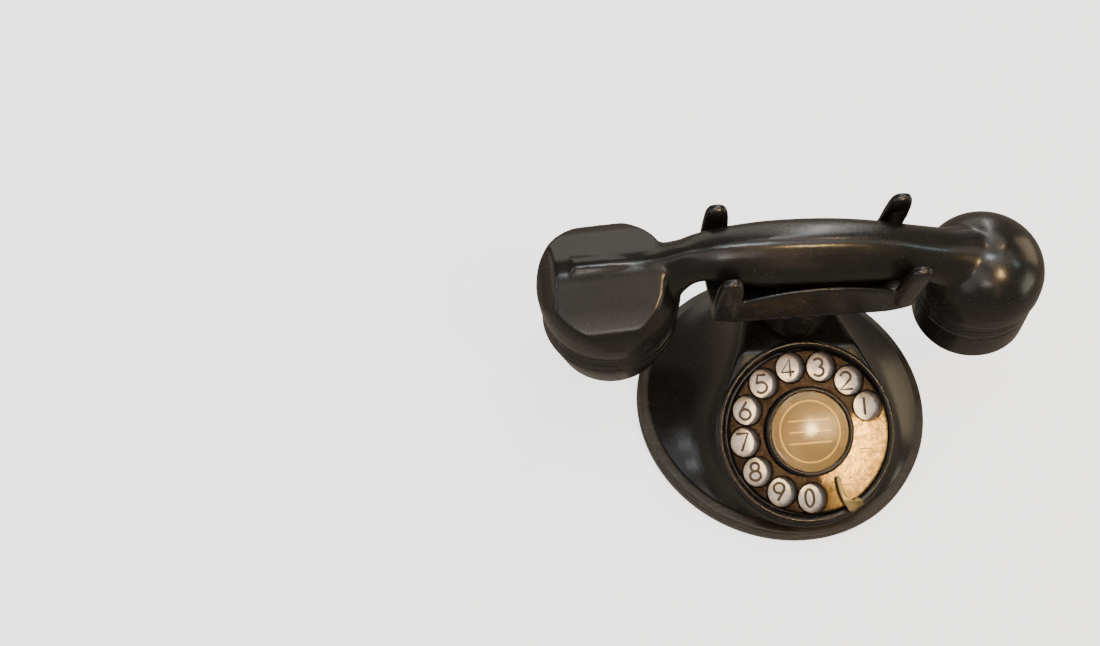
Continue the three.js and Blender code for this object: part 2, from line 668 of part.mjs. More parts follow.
function dialTrain() {
  const shaft = [[0, -31], [2, -31], [2, -29.4], [2.9, -29.2], [2.9, 1.1], [0, 1.1]];
  add('dial_shaft', revolve(shaft, 12), 'steel', dial);
  const turns = 3;
  const steps = turns * 12;
  const at = (i, r) => {
    const a = (i / 12) * 2 * Math.PI;
    return [r * Math.cos(a), r * Math.sin(a)];
  };
  const radius = (i) => lerp(5.2, 28.5, i / steps);
  const outer = Array.from({ length: steps + 1 }, (_, i) => at(i, radius(i) + 0.35));
  const innerSide = Array.from({ length: steps + 1 }, (_, i) => at(i, radius(i) - 0.35)).reverse();
  add('mainspring', plate([...outer, ...innerSide], -12.8, -8), 'steel', dial);
  const gear = gearDisc(GEAR.r, 24, 1.5, GEAR.z - 1.5, GEAR.z);
  add('main_gear', cut(gear, drum(3.2, -30, 0, 12)), 'brass', dial);
  const cam = Array.from({ length: 20 }, (_, i) => {
    const a = (i / 20) * 2 * Math.PI;
    return [(3.9 + 0.9 * Math.cos(2 * a)) * Math.cos(a), (3.9 + 0.9 * Math.cos(2 * a)) * Math.sin(a)];
  });
  const spindle = join(
    revolve([[0, -30.6], [1.2, -30.6], [1.2, -15.4], [0, -15.4]], 8),
    gearDisc(PINION.r, 6, 1, GEAR.z - 2, GEAR.z + 0.4),
    gearDisc(9.2, 12, 1, -25, -23),
  );
  add('pinion_shaft', turned(spindle, PINION), 'steel', dial);
  add('pulse_cam', turned(cut(plate(cam, -27.6, -26.2), drum(1.5, -30, 0, 10)), PINION), 'fibre', dial);
  const ridges = Array.from({ length: 9 }, (_, i) => [i % 2 ? 3.4 : 2.6, -6 + 1.5 * i]);
  const worm = [[0, -16], [0.9, -16], [0.9, -6], ...ridges, [0.9, 6], [0.9, 21], [0, 21]];
  const wormAt = { x: WORM.x, y: WORM.y, z: WORM.z, rx: -Math.PI / 2 };
  add('governor_shaft', turned(revolve(worm, 8), wormAt), 'steel', dial);
  const arms = join(
    pipe(1.1, 2.4, 9, 12.6, 10),
    box(-5.4, 5.4, -0.4, 0.4, 10.2, 11.4),
    box(-5.7, -4.3, -1.6, 1.6, 10.2, 15.2),
    box(4.3, 5.7, -1.6, 1.6, 10.2, 15.2),
  );
  add('governor_weights', turned(cut(arms, drum(1.1, 5, 20, 10)), wormAt), 'brass', dial);
  const cup = [[1.4, 17], [7, 17], [7, 8.4], [6.3, 8.4], [6.3, 16.2], [1.4, 16.2]];
  add('governor_cup', turned(revolve(cup, 14), wormAt), 'brass', dial);
}

function dialFrame() {
  const back = [
    [-27.5, -8], [0, -7], [28, -1], [28, 5], [15, 25], [8, 26], [-1, 34], [-13, 34], [-25, 24], [-27.5, 10],
  ];
  const floor = -31.6;
  const posts = [[25.3, 2], [12, 22.6], [-25, -5.4]].map(([x, y]) =>
    turned(drum(1.8, floor - 0.4, -14.9, 8), { x, y }),
  );
  const [x0, x1] = [WORM.x - 3.4, WORM.x + 3.4];
  const ear = box(x0, x1, WORM.y - 17.4, WORM.y - 16.1, floor - 0.4, -21.5);
  const lip = box(x0, x1, WORM.y + 17.4, WORM.y + 18.6, floor - 0.4, -14.9);
  const body = join(plate(back, floor - 1.4, floor), ...posts, ear, lip);
  const bores = [
    drum(2.3, -40, -28, 10),
    turned(drum(1.5, -40, -28, 8), PINION),
    turned(drum(1.2, -40, 40, 8), { x: WORM.x, y: WORM.y, z: WORM.z, rx: -Math.PI / 2 }),
  ];
  add('dial_frame', cut(body, ...bores), 'zinc', dial);
  [20.2, 22].forEach((y, i) => {
    const leaf = box(-26, -15, y, y + 0.6, floor + GAP, -26.2);
    add(`pulse_leaf_${i + 1}`, leaf, 'brass', dial);
  });
}

// ---------- handset ----------

// Handle: [x, top, bottom, half width] down its length.
const HANDLE = [
  [-108, 102.8, 84, 5.4], [-98, 103.2, 80, 8.6], [-88, 103.6, 77, 10.4], [-80, 104.2, 73, 11.6],
  [-72, 106, 75, 12.4], [-66, 108.4, 75, 12.2], [-61.5, 110.4, 76.4, 11.8], [-59.5, 111, 79.5, 11.5],
  [-58, 111.3, 84, 11.3], [-56.5, 111.6, 89, 11.2], [-54, 112.2, 92.4, 11.2], [-50, 113.4, 94, 11.5],
  [-45, 114.6, 94, 12.3], [-39, 115.6, 92.4, 13.2], [-22, 117, 88.2, 15.4], [-5, 117.1, 86.8, 16.1],
  [10, 116.4, 86.4, 16], [24, 115, 87, 15], [34, 113.4, 87.8, 13.9], [43, 111.4, 88, 13.1],
  [50, 109.7, 86.8, 13], [56, 108.3, 83.6, 13.3], [62, 107, 78.6, 14], [68, 106.2, 77, 14.7],
  [76, 105.4, 77.4, 14.8], [84, 104.4, 79, 12.2],
];

function handle() {
  const between = (i) => (HANDLE[i][0] + HANDLE[i - 1][0]) / 2;
  const longest = 9;
  const stations = HANDLE.flatMap(([x], i) => {
    const far = i > 0 && x - HANDLE[i - 1][0] > longest;
    return far ? [between(i), x] : [x];
  });
  const rings = stations.map((x) => {
    const [top, bottom, w] = [1, 2, 3].map((c) => table(HANDLE, x, c));
    const [cz, h] = [(top + bottom) / 2, (top - bottom) / 2];
    return Array.from({ length: 12 }, (_, i) => {
      const a = (i / 12) * 2 * Math.PI;
      return [x, HANDLE_Y + w * Math.cos(a), cz + h * Math.sin(a)];
    });
  });
  return loft(rings);
}

// Transmitter shoulder: [height, half width, reach of the outer end, radius].
const TX_ROOF = [
  [31.5, 34, 34, 30.4], [34.1, 34, 34, 31.5], [38.6, 34, 34, 32.2], [43.6, 31.6, 33.4, 32.3],
  [47.2, 30.4, 32.2, 31.4], [50.4, 28.7, 31, 29.8], [53.2, 26.2, 30, 28.6], [55.8, 21.8, 28.8, 27.4],
  [58.8, 15.5, 27.3, 26.4], [61.8, 9.2, 25.7, 25.4], [63.8, 5, 24.5, 24.5], [64.6, 2.4, 23.3, 23.9],
];

// Ring cut from a circle of radius r by |y| < w and x > -end, in four runs of points.
function shoulderRing([h, w, end, r]) {
  const edge = Math.asin(Math.min(w / r, 0.88));
  const left = -Math.min(end, r * Math.cos(edge));
  const side = (x) => Math.min(w, Math.sqrt(Math.max(r * r - x * x, 0)));
  const right = Array.from({ length: 3 }, (_, i) => {
    const a = lerp(-edge, edge, i / 3);
    return [r * Math.cos(a), r * Math.sin(a)];
  });
  const back = Array.from({ length: 5 }, (_, i) => {
    const x = lerp(r * Math.cos(edge), left, i / 5);
    return [x, side(x)];
  });
  const span = side(left);
  const end0 = Array.from({ length: 5 }, (_, i) => {
    const y = lerp(span, -span, i / 5);
    return [-Math.min(end, Math.sqrt(r * r - y * y)), y];
  });
  const front = Array.from({ length: 5 }, (_, i) => {
    const x = lerp(left, r * Math.cos(edge), i / 5);
    return [x, -side(x)];
  });
  return [...right, ...back, ...end0, ...front].map(([x, y]) => [x, y, h]);
}

const RX_DOME = [
  [0, 31.4], [27.9, 31.4], [28.4, 32.3], [28.4, 36.5], [28.1, 41], [26.3, 47.1], [22.5, 52.8], [16.2, 57.9],
  [8, 61.6], [0, 62.5],
];

const inCup = (g, cup) => turned(g, { x: cup.x, z: cup.z, ry: cup.tilt });

function handsetBody() {
  const cups = [inCup(loft(TX_ROOF.map(shoulderRing)), TX), inCup(revolve(RX_DOME, 20), RX)];
  const spigots = [TX, RX].map((cup) => {
    const wall = pipe(cup.r - 7, cup.r - 4.2, cup.seam - 9, cup.seam + 1.5, 14);
    return inCup(wall, cup);
  });
  const wells = [TX, RX].flatMap((cup) => [
    inCup(drum(cup.r - CUP_WALL, cup.seam + 2, cup.seam + 9, 14), cup),
    inCup(drum(cup.r - 7, 10, cup.seam + 3, 14), cup),
  ]);
  const bore = inCup(turned(drum(2.9, 0, 40, 8), { z: BUSH_H, rx: -Math.PI / 2 }), TX);
  return cut(join(cut(join(handle(), ...cups), ...wells), ...spigots), bore);
}

function capRadius(cup, h) {
  const i = Math.max(1, cup.wall.findIndex((row) => row[1] >= h));
  const [a, b] = [cup.wall[i - 1], cup.wall[i]];
  return lerp(a[0], b[0], (h - a[1]) / (b[1] - a[1]));
}

function cap(cup, grooves) {
  const [inner, foot] = [cup.r - 3.8, 4.4];
  const rim = cup.wall[0][0];
  const cuts = grooves.flatMap((h) => [
    [capRadius(cup, h - 0.6), h - 0.6], [capRadius(cup, h) - 0.7, h], [capRadius(cup, h + 0.6), h + 0.6],
  ]);
  const wall = [...cup.wall, ...cuts].sort((a, b) => a[1] - b[1]);
  const profile = [
    [0, 1.2], [rim - 4.5, 0.6], [rim - 2, 0], ...wall, [inner, cup.seam], [inner, 17],
    [capRadius(cup, foot) - 2.4, foot], [0, foot - 0.8],
  ];
  const ports = [drum(1.5, -2, 6, 5)];
  for (let i = 0; i < 6; i++) {
    const [x, y] = polar(8, i * 60);
    ports.push(turned(drum(1.5, -2, 6, 5), { x, y }));
  }
  return cut(revolve(profile, 22), ...ports);
}

function handsetParts() {
  add('handset_body', handsetBody(), 'bakelite', handset);
  add('transmitter_cap', cap(TX, [18.6, 26.4]), 'bakelite', txFrame);
  add('receiver_cap', cap(RX, [21.4, 27.3]), 'bakelite', rxFrame);

  const capsule = [[0, 5.6], [13, 5.2], [19.4, 6.4], [20.6, 7.2], [20.6, 12.2], [14, 13], [13, 16], [0, 16]];
  add('transmitter_capsule', revolve(capsule, 14), 'zinc', txFrame);
  add('transmitter_contact', join(drum(5, 16.4, 17.2, 12), pipe(2.4, 3.4, 17, 20.6, 12)), 'brass', txFrame);
  const terminal = cut(box(-13, 13, -6, 6, 21, 23), drum(2.8, 10, 30, 10));
  add('transmitter_terminals', terminal, 'fibre', txFrame);

  add('receiver_diaphragm', drum(22.6, 5.6, 6, 16), 'black', rxFrame);
  const pot = [
    [0, 18.4], [14, 18.4], [14, 11], [20, 7.6], [20, 6.6], [18.6, 6.6], [18.6, 7.2], [12.8, 10.4],
    [12.8, 17.2], [0, 17.2],
  ];
  add('receiver_case', revolve(pot, 12), 'zinc', rxFrame);
  const poles = [-1, 1].map((s) => box(s * 5.4 - 1.2, s * 5.4 + 1.2, -3.4, 3.4, 7, 15));
  add('receiver_magnet', join(box(-9.6, 9.6, -3.4, 3.4, 14.4, 16.8), ...poles), 'magnet', rxFrame);
  [-1, 1].forEach((s, i) => {
    const c = s * 5.4;
    const coil = cut(box(c - 3, c + 3, -5.4, 5.4, 9, 13.8), box(c - 1.5, c + 1.5, -3.7, 3.7, 5, 20));
    add(`receiver_coil_${i + 1}`, coil, 'copper', rxFrame);
  });
  const bush = [[1.6, 24], [3.3, 24], [3.3, 25.4], [2.4, 25.4], [2.4, 33], [4.8, 33], [3.6, 36], [1.6, 36]];
  const bushAt = { z: BUSH_H, rx: -Math.PI / 2 };
  add('handset_lead_bush', turned(revolve(bush, 10), bushAt), 'rubber', txFrame);
}

base();
terminals();
hookSwitch();
dialFront();
dialCase();
dialTrain();
dialFrame();
handsetParts();

export default phone;
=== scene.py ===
# Desk telephone with a round bell base, a horned cradle and a rotary dial.
# Shapes are worked out in millimetres and turned into metres when a piece is finished.
import json
import math

import bmesh
import bpy
from mathutils import Matrix, Vector


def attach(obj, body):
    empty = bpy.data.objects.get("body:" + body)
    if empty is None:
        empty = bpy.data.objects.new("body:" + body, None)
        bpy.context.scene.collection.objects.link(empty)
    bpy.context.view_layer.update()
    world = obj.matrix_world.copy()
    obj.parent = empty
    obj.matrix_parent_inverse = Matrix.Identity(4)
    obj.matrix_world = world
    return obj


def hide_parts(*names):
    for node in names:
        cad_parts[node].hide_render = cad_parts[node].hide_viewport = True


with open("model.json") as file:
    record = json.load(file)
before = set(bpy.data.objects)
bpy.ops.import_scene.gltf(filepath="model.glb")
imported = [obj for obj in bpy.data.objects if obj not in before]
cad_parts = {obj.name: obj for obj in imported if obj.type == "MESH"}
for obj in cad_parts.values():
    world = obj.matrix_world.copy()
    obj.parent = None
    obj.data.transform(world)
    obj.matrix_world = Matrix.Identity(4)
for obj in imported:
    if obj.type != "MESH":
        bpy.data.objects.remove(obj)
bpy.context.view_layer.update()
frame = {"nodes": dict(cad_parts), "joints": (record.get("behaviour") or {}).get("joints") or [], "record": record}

MM = 0.001
TAU = 2 * math.pi

# ---------------- dimensions, mm

FOOT_R, FOOT_TOP = 70.3, 9.3
SKIRT_R, SKIRT_Z, WALL = 65.4, 9.6, 3.0
NECK_Y, NECK_R, NECK_Z = 25.4, 21.5, 52.6
WAIST = 1.5
# Rounding of the top edge, how much softer it is at the neck, and the sine of the direction
# that it begins to soften at and how far on it is softest.
EDGE_SOFT, NECK_SOFT, SOFT_START, SOFT_SPAN = 2.2, 2.3, -0.32, 0.5
# The top falls away from the dial's opening: how steeply, how far, and how far below the neck
# the fall is full.
FALL_SLOPE, FALL_DEPTH, FALL_FADE = 0.25, 0.9, 4
GROMMET_X, GROMMET_Z, GROMMET_R, CORD_HOLE_R = (-13, 13), 13.4, 6.2, 4.3

WHEEL_R, WHEEL_T = 38.0, 1.5
HOLE_RING_R, HOLE_R = 30.6, 6.6
HOLE_FIRST, HOLE_STEP, HOLE_COUNT = 18.6, 27.7, 10
FACE_Z, LIP_R, OPENING_R, CASE_R, LEDGE_Z = -3.6, 43.0, 38.7, 33.8, -7.4
PLATE_TOP, WINDOW_R = -4.4, 18.9

BAR = dict(half=46, outer=19.6, belly=20, inner=17.1, floor=77.6, lip=102.4, sag=5.6, seat=96.5,
           dip=11.7, rise=3.6)
HORN = dict(x=42.8, y=19.5, w=10.6, d=5.8, foot=85, tip=115, splay=2.2)
HUB_R, HUB_Z, ROD_TOP, ROD_HOLE_R, NECK_HOLE_R = 16.4, 53.0, 77.0, 3.4, 6.3

HANDSET_YAW, HANDLE_Y = -1.3, 0.5
# Each cup stands on its cap, whose wall is given as radius and height from the foot to the seam.
TX = dict(x=-84.2, z=37.9, tilt=-7.3, r=30.2, seam=31.2, wall=((25.4, 0.9), (31.3, 20.6), (30.2, 31.2)))
RX = dict(x=89.3, z=43.4, tilt=-7, r=27.6, seam=31.1, wall=((25.2, 0.9), (26.8, 4), (27.6, 31.1)))
BUSH_H, BUSH_HOLE_R, SOUND_HOLE_R = 36.6, 2.9, 1.5


def place(x=0, y=0, z=0, rx=0, ry=0, rz=0):
    turn = Matrix.Rotation(math.radians(rz), 4, "Z") @ Matrix.Rotation(math.radians(ry), 4, "Y")
    return Matrix.Translation((x, y, z)) @ turn @ Matrix.Rotation(math.radians(rx), 4, "X")


def dial_place():
    joint = next(j for j in frame["joints"] if j["name"] == "dial_turn")
    x, y, z = (v / MM for v in joint["pos_m"])
    tilt = math.degrees(math.atan2(joint["axis"][1], -joint["axis"][2]))
    return place(x, y, z, rx=tilt), tilt


DIAL, DIAL_TILT = dial_place()
SLOPE = math.radians(DIAL_TILT)
# Middle of the dial's face on the housing.
FACE_MID_Y = DIAL.to_translation().y - FACE_Z * math.sin(SLOPE)
FACE_MID_Z = DIAL.to_translation().z + FACE_Z * math.cos(SLOPE)
NECK = place(y=NECK_Y)
HANDSET = place(y=NECK_Y, rz=HANDSET_YAW)


def cup_place(cup):
    return HANDSET @ place(x=cup["x"], z=cup["z"], ry=cup["tilt"])


# ---------------- mesh tools

def lerp(a, b, t):
    return a + (b - a) * t


def clamp(value, low=0, high=1):
    return min(max(value, low), high)


def ease(t):
    return t * t * (3 - 2 * t)


def bend(p, q, r, t):
    """Point at t on the curve that runs from p to r and leans towards q."""
    w0, w1, w2 = (1 - t) ** 2, 2 * t * (1 - t), t * t
    return tuple(w0 * a + w1 * b + w2 * c for a, b, c in zip(p, q, r))


def run(start, stop, count, last=False):
    """Even steps from start towards stop, with stop itself only if it's asked for."""
    return [lerp(start, stop, i / count) for i in range(count + last)]


def polar(r, deg):
    return r * math.cos(math.radians(deg)), r * math.sin(math.radians(deg))


def table(rows, x, k):
    """Column k of a table at x, smooth between its rows."""
    i = 0
    while i + 2 < len(rows) and rows[i + 1][0] <= x:
        i += 1

    def row(j):
        return rows[clamp(j, 0, len(rows) - 1)]

    def slope(j):
        p, q = row(j - 1), row(j + 1)
        return 0 if q[0] == p[0] else (q[k] - p[k]) / (q[0] - p[0])

    a, b = row(i), row(i + 1)
    h = b[0] - a[0]
    t = clamp((x - a[0]) / h)
    m0, m1 = slope(i) * h, slope(i + 1) * h
    return ((2 * t**3 - 3 * t**2 + 1) * a[k] + (t**3 - 2 * t**2 + t) * m0
            + (3 * t**2 - 2 * t**3) * b[k] + (t**3 - t**2) * m1)


def chain(bm, points, closed=False):
    verts = [bm.verts.new(p) for p in points]
    pairs = list(zip(verts, verts[1:]))
    if closed:
        pairs.append((verts[-1], verts[0]))
    return verts, [bm.edges.new(p) for p in pairs]


def ring_edges(bm, ring):
    return [bm.edges.get((ring[i - 1], ring[i])) for i in range(len(ring))]


def next_ring(bm, ring, points):
    """Extrudes a closed ring of vertices and moves the copy to the given points."""
    made = bmesh.ops.extrude_edge_only(bm, edges=ring_edges(bm, ring))["geom"]
    fresh = {v for v in made if isinstance(v, bmesh.types.BMVert)}
    step = [next(e.other_vert(v) for e in v.link_edges if e.other_vert(v) in fresh) for v in ring]
    for v, p in zip(step, points):
        v.co = p
    return step


def outward(bm):
    bmesh.ops.recalc_face_normals(bm, faces=bm.faces)
    if bm.calc_volume(signed=True) < 0:
        bmesh.ops.reverse_faces(bm, faces=bm.faces)


def loft(bm, rings):
    """Closed body through rings of equal count, capped at both ends."""
    ring, _ = chain(bm, rings[0], closed=True)
    ends = [ring]
    for points in rings[1:]:
        ring = next_ring(bm, ring, points)
    ends.append(ring)
    for end in ends:
        bmesh.ops.edgeloop_fill(bm, edges=ring_edges(bm, end))


def spin(bm, profile, steps=96):
    """Body of revolution about Z from (radius, height) pairs, closed on itself or on the axis."""
    closed = profile[0][0] > 0 or profile[-1][0] > 0
    verts, edges = chain(bm, [(r, 0, z) for r, z in profile], closed)
    bmesh.ops.spin(bm, geom=verts + edges, cent=(0, 0, 0), axis=(0, 0, 1), angle=TAU,
                   steps=steps, use_merge=True, use_duplicate=False)
    bmesh.ops.remove_doubles(bm, verts=bm.verts, dist=1e-5)
    bmesh.ops.dissolve_degenerate(bm, edges=bm.edges, dist=1e-6)


def body(make, *args, at=None, **options):
    """A bmesh made by one of the tools above, with its faces turned outwards, in its place."""
    bm = bmesh.new()
    make(bm, *args, **options)
    outward(bm)
    if at is not None:
        bmesh.ops.transform(bm, matrix=at, verts=bm.verts)
    return bm


def turned(profile, at, steps=96):
    return body(spin, profile, steps=steps, at=at)


def tube(inner, outer, low, high):
    """Profile of a plain tube, or of a cylinder if its inner radius is 0."""
    return [(inner, low), (outer, low), (outer, high), (inner, high)]


def rounded(points, radius=0.3, steps=3):
    """The closed outline with each corner rounded."""
    out = []
    n = len(points)
    for i, p in enumerate(points):
        here = Vector(p)
        before, after = Vector(points[i - 1]), Vector(points[(i + 1) % n])
        a = here + (before - here).normalized() * min(radius, (before - here).length * 0.45)
        b = here + (after - here).normalized() * min(radius, (after - here).length * 0.45)
        for t in run(0, 1, steps, last=True):
            out.append(tuple((1 - t) ** 2 * a + 2 * t * (1 - t) * here + t * t * b))
    return out


def to_object(bm, name):
    mesh = bpy.data.meshes.new(name)
    bm.to_mesh(mesh)
    bm.free()
    thing = bpy.data.objects.new(name, mesh)
    bpy.context.scene.collection.objects.link(thing)
    return thing


def join(bodies, name):
    """One object out of several closed bodies."""
    whole = bmesh.new()
    for bm in bodies:
        part = bpy.data.meshes.new("part")
        bm.to_mesh(part)
        bm.free()
        whole.from_mesh(part)
        bpy.data.meshes.remove(part)
    return to_object(whole, name)


def settle(thing):
    """Works the object's modifiers into its mesh."""
    evaluated = thing.evaluated_get(bpy.context.evaluated_depsgraph_get())
    mesh = bpy.data.meshes.new_from_object(evaluated)
    thing.modifiers.clear()
    old, thing.data = thing.data, mesh
    bpy.data.meshes.remove(old)


def combine(thing, tools, operation="DIFFERENCE"):
    """Cuts the tools out of the object, or adds them to it."""
    tool = join(tools, "tool")
    step = thing.modifiers.new("combine", "BOOLEAN")
    step.operation = operation
    step.solver = "EXACT"
    step.object = tool
    settle(thing)
    bpy.data.objects.remove(tool)


def fuse(thing, voxel, rounds):
    """Melts overlapping bodies into one skin and softens it."""
    step = thing.modifiers.new("fuse", "REMESH")
    step.mode = "VOXEL"
    step.voxel_size = voxel
    step.use_smooth_shade = True
    soften = thing.modifiers.new("soften", "SMOOTH")
    soften.factor = 0.5
    soften.iterations = rounds
    settle(thing)


def melt(thing, spots, rounds):
    """Softens the skin further round each (x, y, z, reach), where bodies run into each other."""
    group = thing.vertex_groups.new(name="junction")
    centres = [(Vector(spot[:3]), spot[3]) for spot in spots]
    for v in thing.data.vertices:
        weight = max(1 - (v.co - centre).length / reach for centre, reach in centres)
        if weight > 0:
            group.add([v.index], min(1, 1.6 * weight), "REPLACE")
    soften = thing.modifiers.new("melt", "SMOOTH")
    soften.factor = 0.5
    soften.iterations = rounds
    soften.vertex_group = group.name
    settle(thing)


def round_edges(thing, width):
    step = thing.modifiers.new("round", "BEVEL")
    step.width = width
    step.segments = 2
    step.limit_method = "ANGLE"
    step.angle_limit = math.radians(35)
    settle(thing)


def shade(thing, angle):
    for face in thing.data.polygons:
        face.use_smooth = True
    thing.data.set_sharp_from_angle(angle=math.radians(angle))


def finish_piece(thing, body_name, slot, replaces=(), angle=40, material=None):
    """Brings a piece to metres, gives it its slot's material or another, shades it, attaches it to its body and
    hides the CAD parts it replaces.
    """
    thing.data.transform(Matrix.Scale(MM, 4))
    thing.data.materials.clear()
    thing.data.materials.append(MATERIALS[material or slot])
    shade(thing, angle)
    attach(thing, body_name)
    if replaces:
        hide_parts(*replaces)


# ---------------- materials, distances in metres

DUST = (0.3, 0.28, 0.24)


class Nodes:
    """Short way to add and wire shader nodes."""

    def __init__(self, tree):
        self.tree = tree

    def add(self, kind, **values):
        node = self.tree.nodes.new(kind)
        for key, value in values.items():
            if key.startswith("in_"):
                slot = key[3:].replace("_", " ")
                node.inputs[int(slot) if slot.isdigit() else slot].default_value = value
            else:
                setattr(node, key, value)
        return node

    def link(self, source, target):
        self.tree.links.new(source, target)

    def math(self, operation, a, b=None, clamp=False):
        node = self.add("ShaderNodeMath", operation=operation, use_clamp=clamp)
        for slot, value in zip(node.inputs, (a, b)):
            if value is None:
                continue
            if isinstance(value, (int, float)):
                slot.default_value = value
            else:
                self.link(value, slot)
        return node.outputs[0]

    def plus(self, a, b, clamp=False):
        return self.math("ADD", a, b, clamp)

    def times(self, a, b, clamp=False):
        return self.math("MULTIPLY", a, b, clamp)

    def length(self, x, y):
        return self.math("SQRT", self.plus(self.times(x, x), self.times(y, y)))

    def noise(self, vector, scale, detail=3.0, roughness=0.55, distortion=0.0):
        node = self.add("ShaderNodeTexNoise", in_Scale=scale, in_Detail=detail,
                        in_Roughness=roughness, in_Distortion=distortion)
        self.link(vector, node.inputs["Vector"])
        return node.outputs["Fac"]

    def span(self, value, low, high, to_low=0.0, to_high=1.0):
        node = self.add("ShaderNodeMapRange", in_1=low, in_2=high, in_3=to_low, in_4=to_high)
        node.interpolation_type = "SMOOTHSTEP"
        if isinstance(value, (int, float)):
            node.inputs[0].default_value = value
        else:
            self.link(value, node.inputs[0])
        return node.outputs[0]

    def mix(self, fac, a, b):
        node = self.add("ShaderNodeMix", data_type="RGBA")
        for slot, value in ((node.inputs[0], fac), (node.inputs[6], a), (node.inputs[7], b)):
            if isinstance(value, bpy.types.NodeSocket):
                self.link(value, slot)
            elif isinstance(value, (int, float)):
                slot.default_value = value
            else:
                slot.default_value = (*value, 1.0)
        return node.outputs[2]


def node_group(name, output, build, **settings):
    """A shader group that turns a vector and the named settings into one value."""
    tree = bpy.data.node_groups.new(name, "ShaderNodeTree")
    tree.interface.new_socket("Vector", in_out="INPUT", socket_type="NodeSocketVector")
    for label, value in settings.items():
        socket = tree.interface.new_socket(label, in_out="INPUT", socket_type="NodeSocketFloat")
        socket.default_value = value
    tree.interface.new_socket(output, in_out="OUTPUT", socket_type="NodeSocketFloat")
    given = tree.nodes.new("NodeGroupInput").outputs
    result = tree.nodes.new("NodeGroupOutput").inputs[0]
    n = Nodes(tree)
    n.link(build(n, given), result)
    return tree


def build_mottle(n, given):
    """Cloudy patches of age and handling, 0 to 1."""
    broad = n.noise(given["Vector"], 38, 4, 0.6, 0.3)
    fine = n.noise(given["Vector"], 240, 5, 0.62)
    both = n.plus(n.times(broad, 0.65), n.times(fine, 0.35))
    shifted = n.math("SUBTRACT", both, given["Threshold"])
    return n.times(shifted, given["Contrast"], clamp=True)


def build_scratches(n, given):
    """Fine hairline marks that run in several directions."""
    total = None
    for turn, stretch, seed in ((0.4, 34, 0.0), (1.9, 44, 3.7), (2.7, 26, 9.1)):
        mapping = n.add("ShaderNodeMapping", in_Location=(seed, seed * 0.7, seed * 1.3),
                        in_Rotation=(turn, turn * 0.6, turn), in_Scale=(1, stretch, stretch * 0.6))
        n.link(given["Vector"], mapping.inputs["Vector"])
        line = n.span(n.noise(mapping.outputs[0], 42, 2, 0.4), 0.67, 0.73)
        total = line if total is None else n.math("MAXIMUM", total, line)
    breaks = n.span(n.noise(given["Vector"], 70, 2), 0.45, 0.6)
    return n.times(total, breaks)


def build_specks(n, given):
    """Small scattered grains of dust."""
    cells = n.add("ShaderNodeTexVoronoi", feature="F1", in_Scale=620, in_Randomness=1.0)
    n.link(given["Vector"], cells.inputs["Vector"])
    dots = n.span(cells.outputs["Distance"], 0.17, 0.06)
    where = n.span(n.noise(given["Vector"], 60, 3, 0.7), 0.52, 0.66)
    return n.times(dots, where)


def build_grain(n, given):
    """Slight waviness and pores of a moulded or rubbed skin, as a height."""
    wave = n.noise(given["Vector"], 160, 2, 0.5)
    pores = n.noise(given["Vector"], 1400, 3, 0.6)
    waves = n.times(wave, given["Waves"])
    return n.plus(waves, n.times(pores, given["Pores"]))


GROUPS = {
    "mottle": node_group("age_mottle", "Mask", build_mottle, Threshold=0.45, Contrast=5.0),
    "scratches": node_group("hairline_scratches", "Mask", build_scratches),
    "specks": node_group("dust_specks", "Mask", build_specks),
    "grain": node_group("surface_grain", "Height", build_grain, Waves=1.0, Pores=0.2),
}


def use_group(n, name, vector, **values):
    node = n.add("ShaderNodeGroup", node_tree=GROUPS[name])
    n.link(vector, node.inputs["Vector"])
    for label, value in values.items():
        node.inputs[label].default_value = value
    return node.outputs[0]


def new_material(name):
    """An empty material, its nodes, and the object coordinates."""
    material = bpy.data.materials.new(name)
    material.use_nodes = True
    material.node_tree.nodes.clear()
    n = Nodes(material.node_tree)
    return material, n, n.add("ShaderNodeTexCoord").outputs["Object"]


def show(n, surface):
    n.link(surface, n.add("ShaderNodeOutputMaterial").inputs["Surface"])


def by_ray(n, kind, usual, other):
    """The usual shader, with the other one for the named kind of ray."""
    mixed = n.add("ShaderNodeMixShader")
    n.link(n.add("ShaderNodeLightPath").outputs[kind], mixed.inputs[0])
    n.link(usual.outputs[0], mixed.inputs[1])
    n.link(other.outputs[0], mixed.inputs[2])
    return mixed.outputs[0]


